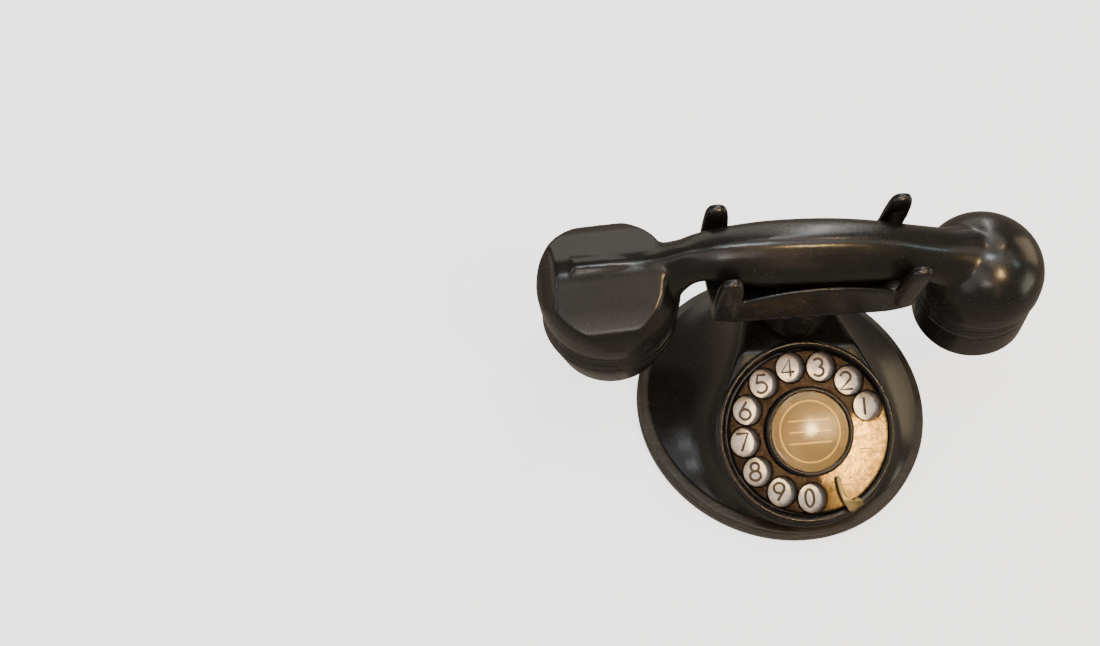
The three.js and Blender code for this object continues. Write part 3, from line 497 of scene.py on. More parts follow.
def aged_material(name, base, aged, rough, worn_rough, metallic=0.0, mottle=(0.45, 5.0), scratch=0.5,
                  speck=0.0, waves=1.0, pores=0.2, bump=0.02, coat=0.0, coat_rough=0.1, specular=0.5,
                  scratch_colour=None, sheen=0.0, recolour=None):
    """The finish of every hard piece: age patches, hairlines, dust and grain over a base colour."""
    material, n, where = new_material(name)
    patches = use_group(n, "mottle", where, Threshold=mottle[0], Contrast=mottle[1])
    lines = use_group(n, "scratches", where)
    colour = n.mix(patches, base, aged)
    if recolour:
        colour = recolour(n, where, colour)
    if scratch_colour:
        colour = n.mix(n.times(lines, scratch), colour, scratch_colour)
    roughness = n.span(patches, 0, 1, rough, worn_rough)
    roughness = n.plus(roughness, n.times(lines, 0.22 * scratch), clamp=True)
    if speck:
        dust = n.times(use_group(n, "specks", where), speck)
        colour = n.mix(dust, colour, DUST)
        roughness = n.plus(roughness, n.times(dust, 0.5), clamp=True)
    height = use_group(n, "grain", where, Waves=waves, Pores=pores)
    height = n.math("SUBTRACT", height, n.times(lines, 0.25 * scratch))
    relief = n.add("ShaderNodeBump", in_Strength=bump, in_Distance=0.002)
    n.link(height, relief.inputs["Height"])
    shader = n.add("ShaderNodeBsdfPrincipled", in_Metallic=metallic, in_Coat_Weight=coat,
                   in_Coat_Roughness=coat_rough, in_Specular_IOR_Level=specular, in_Sheen_Weight=sheen)
    n.link(colour, shader.inputs["Base Color"])
    n.link(roughness, shader.inputs["Roughness"])
    n.link(relief.outputs["Normal"], shader.inputs["Normal"])
    show(n, shader.outputs[0])
    return material


def dial_xy(n, where):
    """How far a point is from the dial's centre, across and up the dial's own plane."""
    mapping = n.add("ShaderNodeMapping", vector_type="TEXTURE", in_Location=DIAL.to_translation() * MM,
                    in_Rotation=(SLOPE, 0, 0))
    n.link(where, mapping.inputs["Vector"])
    split = n.add("ShaderNodeSeparateXYZ")
    n.link(mapping.outputs[0], split.inputs[0])
    return split.outputs[0], split.outputs[1]


def enamel_stains_and_shade(n, where, colour):
    """Grime and painted shade that darken the edge of each number's disc, where the wheel's hole walls stand over
    it.
    """
    x, y = dial_xy(n, where)
    radius, turn = n.length(x, y), n.math("ARCTAN2", y, x)
    step = math.radians(HOLE_STEP)
    offset = n.plus(turn, step * 0.5 - math.radians(HOLE_FIRST) + 13 * step)
    local = n.math("SUBTRACT", n.math("MODULO", offset, step), step * 0.5)
    across = n.times(n.math("SINE", local), radius)
    along = n.math("SUBTRACT", n.times(n.math("COSINE", local), radius), HOLE_RING_R * MM)
    ragged = n.plus(n.length(across, along), n.times(n.noise(where, 420, 4, 0.65), 0.0034))
    # Painted shade: a dark ring at the edge of each disc, partly grime and partly the shade under the wheel's hole
    # walls.
    grime_and_shade = n.span(ragged, 0.0058, 0.0086)
    worn = n.span(n.noise(where, 330, 5, 0.7), 0.42, 0.66)
    cloudy = n.mix(n.times(worn, 0.5), colour, (0.36, 0.3, 0.26))
    return n.mix(n.times(grime_and_shade, 0.72), cloudy, (0.16, 0.105, 0.07))


def copper_blank_and_highlight(n, where, colour):
    """Bronze rubbed bright and painted with a highlight on the blank sector, dark between the finger holes."""
    x, y = dial_xy(n, where)
    turn = n.math("ARCTAN2", y, x)
    ragged = n.plus(turn, n.times(n.noise(where, 150, 4, 0.7), 0.5))
    low = n.span(ragged, math.radians(-72), math.radians(-38))
    high = n.span(ragged, math.radians(34), math.radians(12))
    # Painted highlight: the blank sector is made bright copper where the warm lamp's reflection falls, partly also
    # rubbed wear.
    rubbed_and_lit = n.times(low, high)
    spots = n.span(n.noise(where, 520, 5, 0.75), 0.36, 0.62, 0.55, 1.0)
    dull = n.span(n.noise(where, 300, 4, 0.7), 0.4, 0.62)
    copper = n.mix(dull, (0.76, 0.5, 0.17), (0.48, 0.34, 0.13))
    return n.mix(n.times(rubbed_and_lit, spots), colour, copper)


def card_print_and_shade(n, where, colour):
    """Plain writing card: a border ring and three ruled lines, over painted light that darkens the card towards
    its edge and leaves its middle bright like a lamp's glow.
    """
    x, y = dial_xy(n, where)
    radius, half = n.length(x, y), 0.00034

    def line(value, centre):
        off = n.math("ABSOLUTE", n.math("SUBTRACT", value, centre))
        return n.span(off, half * 1.25, half * 0.75)

    marks = line(radius, 0.0142)
    inside = n.span(n.math("ABSOLUTE", x), 0.0102, 0.0098)
    for centre in (-0.0052, 0.0, 0.0052):
        marks = n.math("MAXIMUM", marks, n.times(line(y, centre), inside))
    # Painted light: darker towards the edge, brighter in the middle where the lamp's glow sits.
    shade_in = n.span(radius, 0.004, 0.0178)
    edge_shaded = n.mix(n.times(shade_in, 0.8), colour, (0.062, 0.046, 0.02))
    return n.mix(n.times(marks, 0.8), edge_shaded, (0.9, 0.56, 0.12))


def glass_material():
    """Hazed and yellowed window that lets light through to the card without a shadow."""
    material, n, where = new_material("card_glass")
    haze = n.span(n.noise(where, 90, 4, 0.6), 0.4, 0.75, 0.12, 0.16)
    tint = n.mix(n.span(n.noise(where, 60, 3), 0.35, 0.7), (0.98, 0.88, 0.62), (0.92, 0.8, 0.5))
    shader = n.add("ShaderNodeBsdfPrincipled", in_IOR=1.5, in_Transmission_Weight=1.0)
    n.link(tint, shader.inputs["Base Color"])
    n.link(haze, shader.inputs["Roughness"])
    show(n, by_ray(n, "Is Shadow Ray", shader, n.add("ShaderNodeBsdfTransparent")))
    return material


def foot_rub(n, where, colour):
    """Brown dust and rubbed paint low on the foot."""
    split = n.add("ShaderNodeSeparateXYZ")
    n.link(where, split.inputs[0])
    ragged = n.plus(split.outputs[2], n.times(n.noise(where, 120, 4, 0.7), 0.006))
    return n.mix(n.times(n.span(ragged, 0.012, 0.006), 0.6), colour, (0.055, 0.044, 0.03))


MATERIALS = {
    "bakelite": aged_material(
        "black_bakelite", (0.006, 0.0055, 0.005), (0.014, 0.0115, 0.0085), 0.22, 0.36,
        mottle=(0.3, 1.6), scratch=0.14, speck=0.3, waves=0.5, pores=0.1, bump=0.06, coat=0.25,
        coat_rough=0.17, scratch_colour=(0.05, 0.045, 0.04)),
    "foot_band": aged_material(
        "foot_band_paint", (0.02, 0.017, 0.013), (0.05, 0.04, 0.028), 0.34, 0.55, mottle=(0.4, 5.0),
        scratch=0.8, speck=0.5, bump=0.16, recolour=foot_rub, scratch_colour=(0.12, 0.1, 0.07)),
    "felt": aged_material(
        "base_felt", (0.02, 0.026, 0.018), (0.04, 0.042, 0.03), 0.9, 1.0, scratch=0.0, waves=0.3,
        pores=2.0, bump=0.6, sheen=0.4, specular=0.15),
    "steel": aged_material(
        "plain_steel", (0.42, 0.42, 0.43), (0.28, 0.26, 0.24), 0.28, 0.5, metallic=1.0, scratch=0.8,
        bump=0.06),
    "zinc": aged_material(
        "zinc_plate", (0.46, 0.46, 0.44), (0.3, 0.29, 0.25), 0.34, 0.6, metallic=0.95, scratch=0.6,
        bump=0.08),
    "brass": aged_material(
        "worn_brass", (0.36, 0.3, 0.15), (0.16, 0.13, 0.07), 0.28, 0.5, metallic=1.0,
        mottle=(0.46, 5.0), scratch=0.7, bump=0.08, scratch_colour=(0.6, 0.5, 0.28)),
    "bronze": aged_material(
        "oxidised_bronze", (0.006, 0.004, 0.0035), (0.016, 0.009, 0.007), 0.26, 0.44, metallic=0.85,
        mottle=(0.46, 4.5), scratch=0.4, bump=0.08, recolour=copper_blank_and_highlight,
        scratch_colour=(0.07, 0.04, 0.03)),
    "dial_black": aged_material(
        "dial_black_enamel", (0.012, 0.011, 0.011), (0.035, 0.026, 0.019), 0.22, 0.4, metallic=0.3,
        scratch=0.7, bump=0.06, scratch_colour=(0.12, 0.09, 0.06)),
    "digit_ink": aged_material(
        "digit_ink", (0.03, 0.014, 0.009), (0.07, 0.036, 0.024), 0.35, 0.55, mottle=(0.46, 5.0),
        scratch=0.2, bump=0.05),
    "enamel": aged_material(
        "cream_enamel", (0.95, 0.88, 0.84), (0.74, 0.64, 0.57), 0.18, 0.34, mottle=(0.42, 4.0),
        scratch=0.7, bump=0.05, coat=0.3, recolour=enamel_stains_and_shade, scratch_colour=(0.3, 0.22, 0.16)),
    "card": aged_material(
        "number_card_paper", (0.17, 0.095, 0.022), (0.11, 0.064, 0.016), 0.26, 0.38,
        mottle=(0.4, 3.5), scratch=0.0, waves=0.2, pores=0.8, bump=0.05, recolour=card_print_and_shade),
    "window": glass_material(),
    "fibre": aged_material(
        "insulating_board", (0.13, 0.06, 0.03), (0.2, 0.1, 0.05), 0.5, 0.7, scratch=0.3, bump=0.1),
    "rubber": aged_material(
        "black_rubber", (0.016, 0.016, 0.016), (0.035, 0.033, 0.03), 0.6, 0.85, scratch=0.1,
        bump=0.1, pores=0.6),
    "magnet": aged_material(
        "magnet_steel", (0.07, 0.07, 0.075), (0.12, 0.1, 0.09), 0.4, 0.6, metallic=0.9, scratch=0.5,
        bump=0.1),
    "coil_wire": aged_material(
        "coil_winding", (0.3, 0.1, 0.035), (0.2, 0.06, 0.02), 0.3, 0.5, metallic=0.5, scratch=0.2,
        bump=0.1),
}


def paint_cad_nodes():
    slot_of = {p["node"]: p["material_slot"] for p in frame["record"]["subparts"]}
    for name, node in frame["nodes"].items():
        node.data.materials.clear()
        node.data.materials.append(MATERIALS[slot_of[name]])


# ---------------- base

def face_height(y):
    return FACE_MID_Z + (y - FACE_MID_Y) * math.tan(SLOPE)


def top_height(y):
    """Height of the housing's top: the dial face, levelling off softly at the neck."""
    rise, soft = face_height(y), 1.2
    return 0.5 * (rise + NECK_Z - math.sqrt((rise - NECK_Z) ** 2 + soft**2)) + 0.25 * soft


def top_outline():
    """Plan of the housing's top: dial lip and neck with a shallow waist between."""
    cy = FACE_MID_Y
    a, b = LIP_R, LIP_R * math.cos(SLOPE)
    lip, neck = [], []
    for i in range(361):
        t = (i / 360 - 0.5) * math.pi
        c, s = math.cos(t), math.sin(t)
        h = math.hypot(a * c, b * s)
        if cy * s + h > NECK_Y * s + NECK_R:
            lip.append((a * a * c / h, cy + b * b * s / h))
        else:
            neck.append((NECK_R * c, NECK_Y + NECK_R * s))
    p, q = lip[-1], neck[0]
    gap = math.hypot(q[0] - p[0], q[1] - p[1])
    side = []
    for i in range(1, 20):
        t = i / 20
        dip = WAIST * math.sin(math.pi * t) ** 2
        side.append((lerp(p[0], q[0], t) - dip * (q[1] - p[1]) / gap,
                     lerp(p[1], q[1], t) + dip * (q[0] - p[0]) / gap))
    half = lip + side + neck
    return half + [(-x, y) for x, y in reversed(half[1:-1])]


def reach(outline, angle):
    """How far the outline is from the middle in one direction."""
    c, s = math.cos(angle), math.sin(angle)
    best = 0
    for i, p in enumerate(outline):
        q = outline[(i + 1) % len(outline)]
        ex, ey = q[0] - p[0], q[1] - p[1]
        det = ex * s - ey * c
        if abs(det) < 1e-12:
            continue
        t = (ex * p[1] - ey * p[0]) / det
        u = (c * p[1] - s * p[0]) / det
        if t > 0 and -1e-9 <= u <= 1 + 1e-9:
            best = max(best, t)
    return best


def softness(a):
    """Rounding of the top edge: crisp round the dial, soft from the waist to the neck."""
    return EDGE_SOFT * lerp(1, NECK_SOFT, ease(clamp((math.sin(a) - SOFT_START) / SOFT_SPAN)))


def bell(bm, inset, bottom, steps, count):
    """Bell from the skirt up to the top outline, drawn in by the inset for its inner face."""
    outline = top_outline()
    angles = run(0, TAU, count)
    tops = [reach(outline, a) - inset for a in angles]
    rings = []

    def ring(place_at):
        points = []
        for a, top in zip(angles, tops):
            r, z = place_at(a, top)
            points.append((r * math.cos(a), r * math.sin(a), z))
        rings.append(points)

    def roof(a, r):
        """Top surface, falling away a little outside the dial's opening."""
        x, y = r * math.cos(a), r * math.sin(a)
        past = math.hypot(x, (y - FACE_MID_Y) / math.cos(SLOPE)) - OPENING_R - 1
        fade = clamp((NECK_Z - face_height(y)) / FALL_FADE)
        return top_height(y) - clamp(past * FALL_SLOPE, 0, FALL_DEPTH) * fade - inset

    def flank(a, top, t):
        low, high = (SKIRT_R - inset, SKIRT_Z + 1.6), (top, roof(a, top) - softness(a))
        return bend(low, (lerp(high[0], low[0], 0.16), lerp(low[1], high[1], 0.26)), high, t)

    def edge(a, top, t):
        soft, height = softness(a), roof(a, top)
        return bend((top, height - soft), (top, height), (top - soft, roof(a, top - soft)), t)

    ring(lambda a, top: (SKIRT_R - inset - 1.2, bottom))
    ring(lambda a, top: (SKIRT_R - inset, bottom))
    for t in run(0, 1, steps, last=True):
        ring(lambda a, top: flank(a, top, t))
    for t in run(0, 1, 6, last=True)[1:]:
        ring(lambda a, top: edge(a, top, t))
    for f in (0.8, 0.55, 0.3, 0.1):
        ring(lambda a, top: ((top - softness(a)) * f, roof(a, (top - softness(a)) * f)))
    loft(bm, rings)


def base_housing():
    shell = to_object(body(bell, 0, SKIRT_Z, 26, 180), "bell_housing")
    well = [(0, LEDGE_Z), (OPENING_R, LEDGE_Z), (OPENING_R, FACE_Z - 0.5),
            (OPENING_R + 0.12, FACE_Z - 0.22), (OPENING_R + 0.4, FACE_Z), (OPENING_R + 0.4, 6), (0, 6)]
    tools = [
        body(bell, WALL, SKIRT_Z - 1, 8, 72),
        turned(well, DIAL, 144),
        turned(tube(0, LIP_R + 1.2, FACE_Z, 12), DIAL, 144),
        turned(tube(0, CASE_R + 0.6, -16, 0), DIAL),
        turned(tube(0, NECK_HOLE_R, 30, 60), NECK, 48),
    ]
    for x in GROMMET_X:
        tools.append(turned(tube(0, CORD_HOLE_R, 0, 30), place(x, 45, GROMMET_Z, rx=-90), 32))
        tools.append(turned(tube(0, GROMMET_R, 0, 30), place(x, 58, GROMMET_Z, rx=-90), 40))
    for tool in tools:
        combine(shell, [tool])
    finish_piece(shell, "base", "bakelite", ["base_housing"], angle=32)


def foot_ring():
    profile = rounded([
        (64.4, 3.9), (67, 3.9), (67, 0.6), (69.7, 0.6), (FOOT_R, 1.5), (FOOT_R, 4.9), (69.4, 5.2),
        (69.4, 5.6), (70.1, 5.9), (70.1, 8.4), (69.3, FOOT_TOP), (64.4, FOOT_TOP),
    ], 0.45, 4)
    ring = to_object(turned(profile, place(), 192), "foot_band")
    finish_piece(ring, "base", "foot_band", ["foot_ring"])


# ---------------- cradle

def bar(bm):
    """The cross bar, as a channel with raised lips that sag towards its ends."""
    b = BAR
    rings = []
    for x in run(-b["half"], b["half"], 48, last=True):
        lip = b["lip"] - b["sag"] * min(1.3, (x / 33) ** 2)
        floor = b["floor"] + b["rise"] * max(0, (abs(x) / b["half"] - 0.7) / 0.3) ** 2
        right = [(b["belly"] - 3.6, floor), (b["belly"] - 1, floor + 1.2),
                 (b["belly"], floor + 4), (b["outer"], lip - 1.4), (b["outer"] - 1, lip - 0.1),
                 (b["inner"] + 0.9, lip), (b["inner"], lip - 1)]
        left = [(-y, z) for y, z in reversed(right)]
        rings.append([(x, y, z) for y, z in right + left])
    loft(bm, rings)


# How far up a horn, then its width and its depth as shares of HORN's.
HORN_TAPER = (
    (0, 1.08, 1), (0.2, 1.14, 1), (0.35, 1.18, 1), (0.6, 1.12, 1), (0.8, 1.02, 1), (0.87, 0.95, 0.97),
    (0.92, 0.87, 0.91), (0.96, 0.74, 0.8), (0.985, 0.57, 0.62), (1, 0.3, 0.32),
)


def horn(bm, sx, sy):
    """One upright prong, leaning out both ways, with a wide root and a rounded tip."""
    h = HORN
    rings = []
    for t, fx, fy in HORN_TAPER:
        z = lerp(h["foot"], h["tip"], t)
        lean = h["splay"] * (1 - t)
        points = []
        for i in range(28):
            a = (i + 0.5) / 28 * TAU
            c, s = math.cos(a), math.sin(a)
            k = (abs(c) ** 3 + abs(s) ** 3) ** (-1 / 3)
            points.append((sx * (h["x"] - lean) + 0.5 * h["w"] * fx * k * c,
                           sy * (h["y"] - lean) + 0.5 * h["d"] * fy * k * s, z))
        rings.append(points)
    loft(bm, rings)


def trough(bm):
    """The round seat that the handle lies in, with room for it above."""
    rings = []
    for x in (-BAR["half"] - 3, BAR["half"] + 3):
        points = []
        for a in run(0, TAU, 64):
            height = 30 if math.sin(a) > 0 else BAR["dip"]
            points.append((x, BAR["inner"] * math.cos(a), BAR["seat"] + height * math.sin(a)))
        rings.append(points)
    loft(bm, rings)


def cradle():
    corners = [(sx, sy) for sx in (-1, 1) for sy in (-1, 1)]
    solids = [to_object(body(bar, at=NECK), "bar")]
    solids += [to_object(body(horn, sx, sy, at=NECK), "horn") for sx, sy in corners]
    for solid in solids:
        combine(solid, [body(trough, at=NECK)])
    hub = [(11.5, HUB_Z), (HUB_R - 1.6, HUB_Z), (HUB_R, HUB_Z + 2), (HUB_R + 0.6, HUB_Z + 16),
           (HUB_R + 1.6, BAR["floor"] - 3), (HUB_R + 2.4, BAR["floor"] + 1), (0, BAR["floor"] + 1),
           (0, 73), (11.5, 73)]
    solids.append(to_object(turned(hub, NECK), "hub"))
    bodies = []
    for solid in solids:
        bm = bmesh.new()
        bm.from_mesh(solid.data)
        bodies.append(bm)
        bpy.data.objects.remove(solid)
    piece = join(bodies, "cradle_fork")
    fuse(piece, 0.55, 5)
    melt(piece, [(sx * 39, NECK_Y + sy * 19, 96, 9) for sx, sy in corners], 24)
    combine(piece, [turned(tube(0, ROD_HOLE_R, 60, ROD_TOP), NECK, 32)])
    finish_piece(piece, "cradle", "bakelite", ["cradle"], angle=60)


# ---------------- dial

def hole_places(z=0):
    return [place(*polar(HOLE_RING_R, HOLE_FIRST + i * HOLE_STEP), z) for i in range(HOLE_COUNT)]


def finger_wheel():
    blank = rounded([(3.4, -WHEEL_T), (36.7, -WHEEL_T), (36.8, -2.9), (WHEEL_R, -2.9), (WHEEL_R, -0.5),
                     (37.3, 0), (3.4, 0)], 0.35, 4)
    wheel = to_object(turned(blank, DIAL, 180), "finger_plate")
    collar = tube(HOLE_R - 0.4, HOLE_R + 0.6, -2.6, -0.6)
    bead = [(HOLE_R - 0.4, -0.5), (HOLE_R + 1.05, -0.5), (HOLE_R + 0.95, 0.05), (HOLE_R + 0.6, 0.4),
            (HOLE_R + 0.1, 0.42), (HOLE_R - 0.4, 0.2)]
    bore = [(0, -6), (HOLE_R, -6), (HOLE_R, -0.1), (HOLE_R + 0.1, 0.2), (HOLE_R + 0.3, 0.45),
            (HOLE_R + 0.3, 3), (0, 3)]
    spots = [DIAL @ at for at in hole_places()]
    for at in spots:
        combine(wheel, [turned(rounded(bead, 0.15, 2), at, 48)], "UNION")
    combine(wheel, [turned(collar, at, 48) for at in spots], "UNION")
    combine(wheel, [turned(bore, at, 48) for at in spots])
    finish_piece(wheel, "dial_wheel", "bronze", ["finger_wheel"], angle=32)


def arc(cx, cy, rx, ry, start, stop, count=14):
    turns = [math.radians(a) for a in run(start, stop, count, last=True)]
    return [(cx + rx * math.cos(a), cy + ry * math.sin(a)) for a in turns]


# Plain upright numerals on a unit height, each a list of strokes.
NUMERALS = {
    "1": [[(0.0, -0.5), (0.0, 0.5)]],
    "2": [arc(0, 0.22, 0.26, 0.27, 172, -38) + [(-0.3, -0.49), (0.33, -0.49)]],
    "3": [arc(0, 0.25, 0.23, 0.245, 150, -78), arc(0, -0.24, 0.27, 0.26, 86, -158)],
    "4": [[(0.12, -0.5), (0.12, 0.5), (-0.32, -0.22), (0.34, -0.22)]],
    "5": [[(0.25, 0.5), (-0.15, 0.5), (-0.22, 0.06)] + arc(-0.01, -0.2, 0.29, 0.3, 128, -142, 18)],
    "6": [[(0.12, 0.5), (-0.22, -0.04)] + arc(0, -0.21, 0.27, 0.285, 148, -212, 24)],
    "7": [[(-0.3, 0.49), (0.29, 0.49), (-0.08, -0.5)]],
    "8": [arc(0, 0.26, 0.21, 0.235, 0, 360, 22), arc(0, -0.23, 0.27, 0.265, 0, 360, 24)],
    "9": [[(-0.12, -0.5), (0.22, 0.04)] + arc(0, 0.21, 0.27, 0.285, -32, 328, 24)],
    "0": [arc(0, 0, 0.25, 0.49, 90, 450, 30)],
}
NUMERAL_HEIGHT, NUMERAL_WIDTH, STROKE = 8.2, 9.4, 0.64


def numeral(text):
    curve = bpy.data.curves.new("numeral_" + text, "CURVE")
    curve.dimensions = "3D"
    curve.bevel_depth = STROKE
    curve.bevel_resolution = 3
    curve.use_fill_caps = True
    width = NUMERAL_HEIGHT if text == "0" else NUMERAL_WIDTH
    for stroke in NUMERALS[text]:
        spline = curve.splines.new("POLY")
        spline.points.add(len(stroke) - 1)
        for point, (x, y) in zip(spline.points, stroke):
            point.co = (x * width, y * NUMERAL_HEIGHT, 0, 1)
    thing = bpy.data.objects.new("numeral_" + text, curve)
    bpy.context.scene.collection.objects.link(thing)
    mesh = bpy.data.meshes.new_from_object(thing.evaluated_get(bpy.context.evaluated_depsgraph_get()))
    bpy.data.objects.remove(thing)
    return mesh


def numerals():
    for text, at in zip("1234567890", hole_places(PLATE_TOP)):
        thing = bpy.data.objects.new("numeral_" + text, numeral(text))
        bpy.context.scene.collection.objects.link(thing)
        thing.data.transform(DIAL @ at @ Matrix.Diagonal((1, 1, 0.16, 1)))
        finish_piece(thing, "base", "dial_black", material="digit_ink")


def number_plate():
    profile = rounded(tube(20, OPENING_R - 0.5, -5.4, PLATE_TOP), 0.2, 3)
    plate = to_object(turned(profile, DIAL, 128), "enamel_plate")
    finish_piece(plate, "base", "enamel", ["number_plate"])


def crown(r, edge, rise):
    """Point of a shallow dome over the card, from its height at the edge and its rise to the middle."""
    return r, edge + rise * (1 - (r / WINDOW_R) ** 2)


def dial_trim():
    rim = rounded([(39, FACE_Z + 0.3), (42.5, FACE_Z + 0.3), (42.4, -2.4), (41.6, -1.5), (40.7, -1.4),
                   (39.6, -1.9), (39.05, -2.4)], 0.5, 4)
    piece = to_object(turned(rim, DIAL, 192), "dial_bezel")
    finish_piece(piece, "base", "dial_black", ["dial_rim"])
    ring = rounded([(19.2, 0.3), (20.9, 0.3), (20.9, 2.2), (20.55, 3.1), (20, 3.6), (19.2, 3.66),
                    (18.6, 3.45), (18.4, 3.1), (19.2, 2.6)], 0.22, 3)
    piece = to_object(turned(ring, DIAL, 144), "card_ring")
    finish_piece(piece, "dial_wheel", "dial_black", ["card_retainer"])
    radii = (0, 1.5, 3.5, 6, 8.5, 11, 13.5, 15.5, 17)
    under = [crown(r, 2.0, 1.35) for r in radii]
    top = [crown(r, 2.5, 1.5) for r in (18.1, *reversed(radii))]
    window = [*under, (18.8, 2.05), (18.8, 2.35), *top]
    piece = to_object(turned(window, DIAL, 128), "domed_window")
    finish_piece(piece, "dial_wheel", "window", ["card_window"])
    card = [(0, 1.45), *rounded([(18.4, 1.45), (18.4, 1.75)], 0.05, 1), (0, 1.75)]
    piece = to_object(turned(card, DIAL), "writing_card")
    finish_piece(piece, "dial_wheel", "card", ["number_card"])


def plate_solid(bm, outline, low, high):
    """Flat plate of the given outline between two heights."""
    verts, edges = chain(bm, [(x, y, low) for x, y in outline], closed=True)
    bmesh.ops.edgeloop_fill(bm, edges=edges)
    made = bmesh.ops.extrude_face_region(bm, geom=list(bm.faces))["geom"]
    lift = [v for v in made if isinstance(v, bmesh.types.BMVert)]
    bmesh.ops.translate(bm, verts=lift, vec=(0, 0, high - low))


# Outline of the finger stop's hooked blade, seen square on to the dial.
STOP_BLADE = [
    (11.2, -21), (10.6, -22), (10.5, -23.4), (11, -27.8), (12.5, -32.5), (13.9, -35.4), (15, -37.6),
    (17, -38.4), (22.4, -34.2), (20, -31.7), (17.6, -33), (15.7, -32.3), (14, -30.3), (12.8, -26.1),
    (12.1, -21.7),
]


def finger_stop():
    def rim(r, start, stop):
        return [polar(r, a) for a in run(start, stop, 9, last=True)]

    foot = rim(41.6, -66.3, -57.5) + rim(39.5, -57.5, -66.3)
    hook = to_object(body(plate_solid, rounded(STOP_BLADE, 0.8, 3), 1.2, 2.5, at=DIAL), "stop_hook")
    combine(hook, [body(plate_solid, foot, -1.2, 1.8, at=DIAL)], "UNION")
    round_edges(hook, 0.25)
    finish_piece(hook, "base", "brass", ["finger_stop"])


# ---------------- handset

# Handle: x, top, bottom, half width down its length.
HANDLE = [
    (-108.6, 101.8, 84, 8.2), (-98, 102.9, 80, 9.6), (-88, 103.6, 77, 10.6), (-80, 104.2, 73, 11.6),
    (-72, 106, 75, 12.4), (-66, 108.4, 75, 12.2), (-61.5, 110.4, 76.4, 11.8), (-59.5, 111, 79.5, 11.5),
    (-58, 111.3, 84, 11.3), (-56.5, 111.6, 89, 11.2), (-54, 112.2, 92.4, 11.2), (-50, 113.4, 94, 11.5),
    (-45, 114.6, 94, 12.3), (-39, 115.6, 92.4, 13.2), (-22, 117, 88.2, 15.4), (-5, 117.1, 86.8, 16.1),
    (10, 116.4, 86.4, 16), (24, 115, 87, 15), (34, 113.4, 87.8, 13.9), (43, 111.4, 88, 13.1),
    (50, 109.7, 86.8, 13), (56, 108.3, 83.6, 13.3), (62, 107, 78.6, 14), (68, 106.2, 77, 14.7),
    (76, 105.4, 77.4, 14.8), (84, 104.4, 79, 12.2),
]
# Section angles, from the rear over the top: end of the rear facet, the ridge, end of the front facet.
REAR_END, RIDGE, FRONT_END = math.radians(14), math.radians(97), math.radians(198)
# How flat the facets are, how far from the ridge they are full and start to fade, as shares of a facet,
# and where along the handle they begin to run out and for how long.
FACET_FLAT, FACET_FULL, FACET_FADE, FACET_STOP, FACET_RUN = 0.3, 0.22, 0.35, 72, 60


def section(a, w, h, flatness):
    """Point of an oval section that is flattened on both sides of a soft top ridge."""
    end = REAR_END if a < RIDGE else FRONT_END
    t = (a - RIDGE) / (end - RIDGE)
    y, z = w * math.cos(a), h * math.sin(a)
    if t >= 1:
        return y, z
    fade = clamp((t - FACET_FADE) / (1 - FACET_FADE))
    amount = flatness * ease(clamp(t / FACET_FULL)) * (1 - ease(fade))
    flat_y = lerp(w * math.cos(RIDGE), w * math.cos(end), t)
    flat_z = lerp(h * math.sin(RIDGE), h * math.sin(end), t)
    return lerp(y, flat_y, amount), lerp(z, flat_z, amount)


def handle(bm):
    rings = []
    for x in run(HANDLE[0][0], HANDLE[-1][0], 128, last=True):
        top, bottom, w = (table(HANDLE, x, c) for c in (1, 2, 3))
        cz, h = (top + bottom) / 2, (top - bottom) / 2
        flatness = FACET_FLAT * clamp((FACET_STOP - x) / FACET_RUN)
        points = [section(a, w, h, flatness) for a in run(0, TAU, 60)]
        rings.append([(x, HANDLE_Y + y, cz + z) for y, z in points])
    loft(bm, rings)


# Transmitter shoulder: height, half width, reach of the outer end, radius, lean to the outer end.
TX_ROOF = [
    (31.5, 34, 34, 30.4, 0), (34.1, 34, 34, 31.5, 0), (38.6, 34, 34, 32.2, 0),
    (43.6, 31.9, 33.4, 32.3, 0.3), (47.2, 30.9, 32.6, 32, 0.9), (50, 29.6, 31.4, 31.3, 1.5),
    (51.8, 28.2, 30.4, 30.8, 1.9), (53.2, 26.2, 29.2, 30.4, 2.1), (55.8, 21.8, 27.4, 29.6, 2.2),
    (58.8, 15.5, 25.6, 28.6, 2.2), (61.8, 9.2, 24.8, 27.6, 2.2), (63.8, 5, 24.3, 26.7, 2.2),
    (64.6, 2.4, 23.9, 26.1, 2.2),
]


def shoulder_ring(h, w, end, r, lean):
    """A circle of radius r about x = -lean, cut by |y| < w and x > -end, in runs of equal count."""
    edge = math.asin(min(w / r, 0.88))
    right, left = r * math.cos(edge) - lean, max(-end, -lean - r * math.cos(edge))

    def side(x):
        return min(w, math.sqrt(max(r * r - (x + lean) ** 2, 0)))

    span = side(left)
    points = [(r * math.cos(a) - lean, r * math.sin(a)) for a in run(-edge, edge, 16)]
    points += [(x, side(x)) for x in run(right, left, 28)]
    points += [(max(-end, -lean - math.sqrt(r * r - y * y)), y) for y in run(span, -span, 24)]
    points += [(x, -side(x)) for x in run(left, right, 28)]
    return [(x, y, h) for x, y in points]


def shoulder(bm):
    heights = run(TX_ROOF[0][0], TX_ROOF[-1][0], 48, last=True)
    loft(bm, [shoulder_ring(h, *(table(TX_ROOF, h, c) for c in (1, 2, 3, 4))) for h in heights])


# Receiver shoulder: radius and height above the foot.
RX_DOME = [
    (27.9, 31.4), (28.4, 32.3), (28.4, 36.5), (28.1, 41), (26.3, 47.1), (22.5, 52.8), (16.2, 57.9),
    (8, 61.6),
]


def dome(bm):
    top = (0, 62.5)
    rows = [(i, r, z) for i, (r, z) in enumerate([*RX_DOME, top])]
    smooth = [(table(rows, k / 4, 1), table(rows, k / 4, 2)) for k in range((len(rows) - 1) * 4)]
    spin(bm, [(0, RX_DOME[0][1]), *smooth, top])


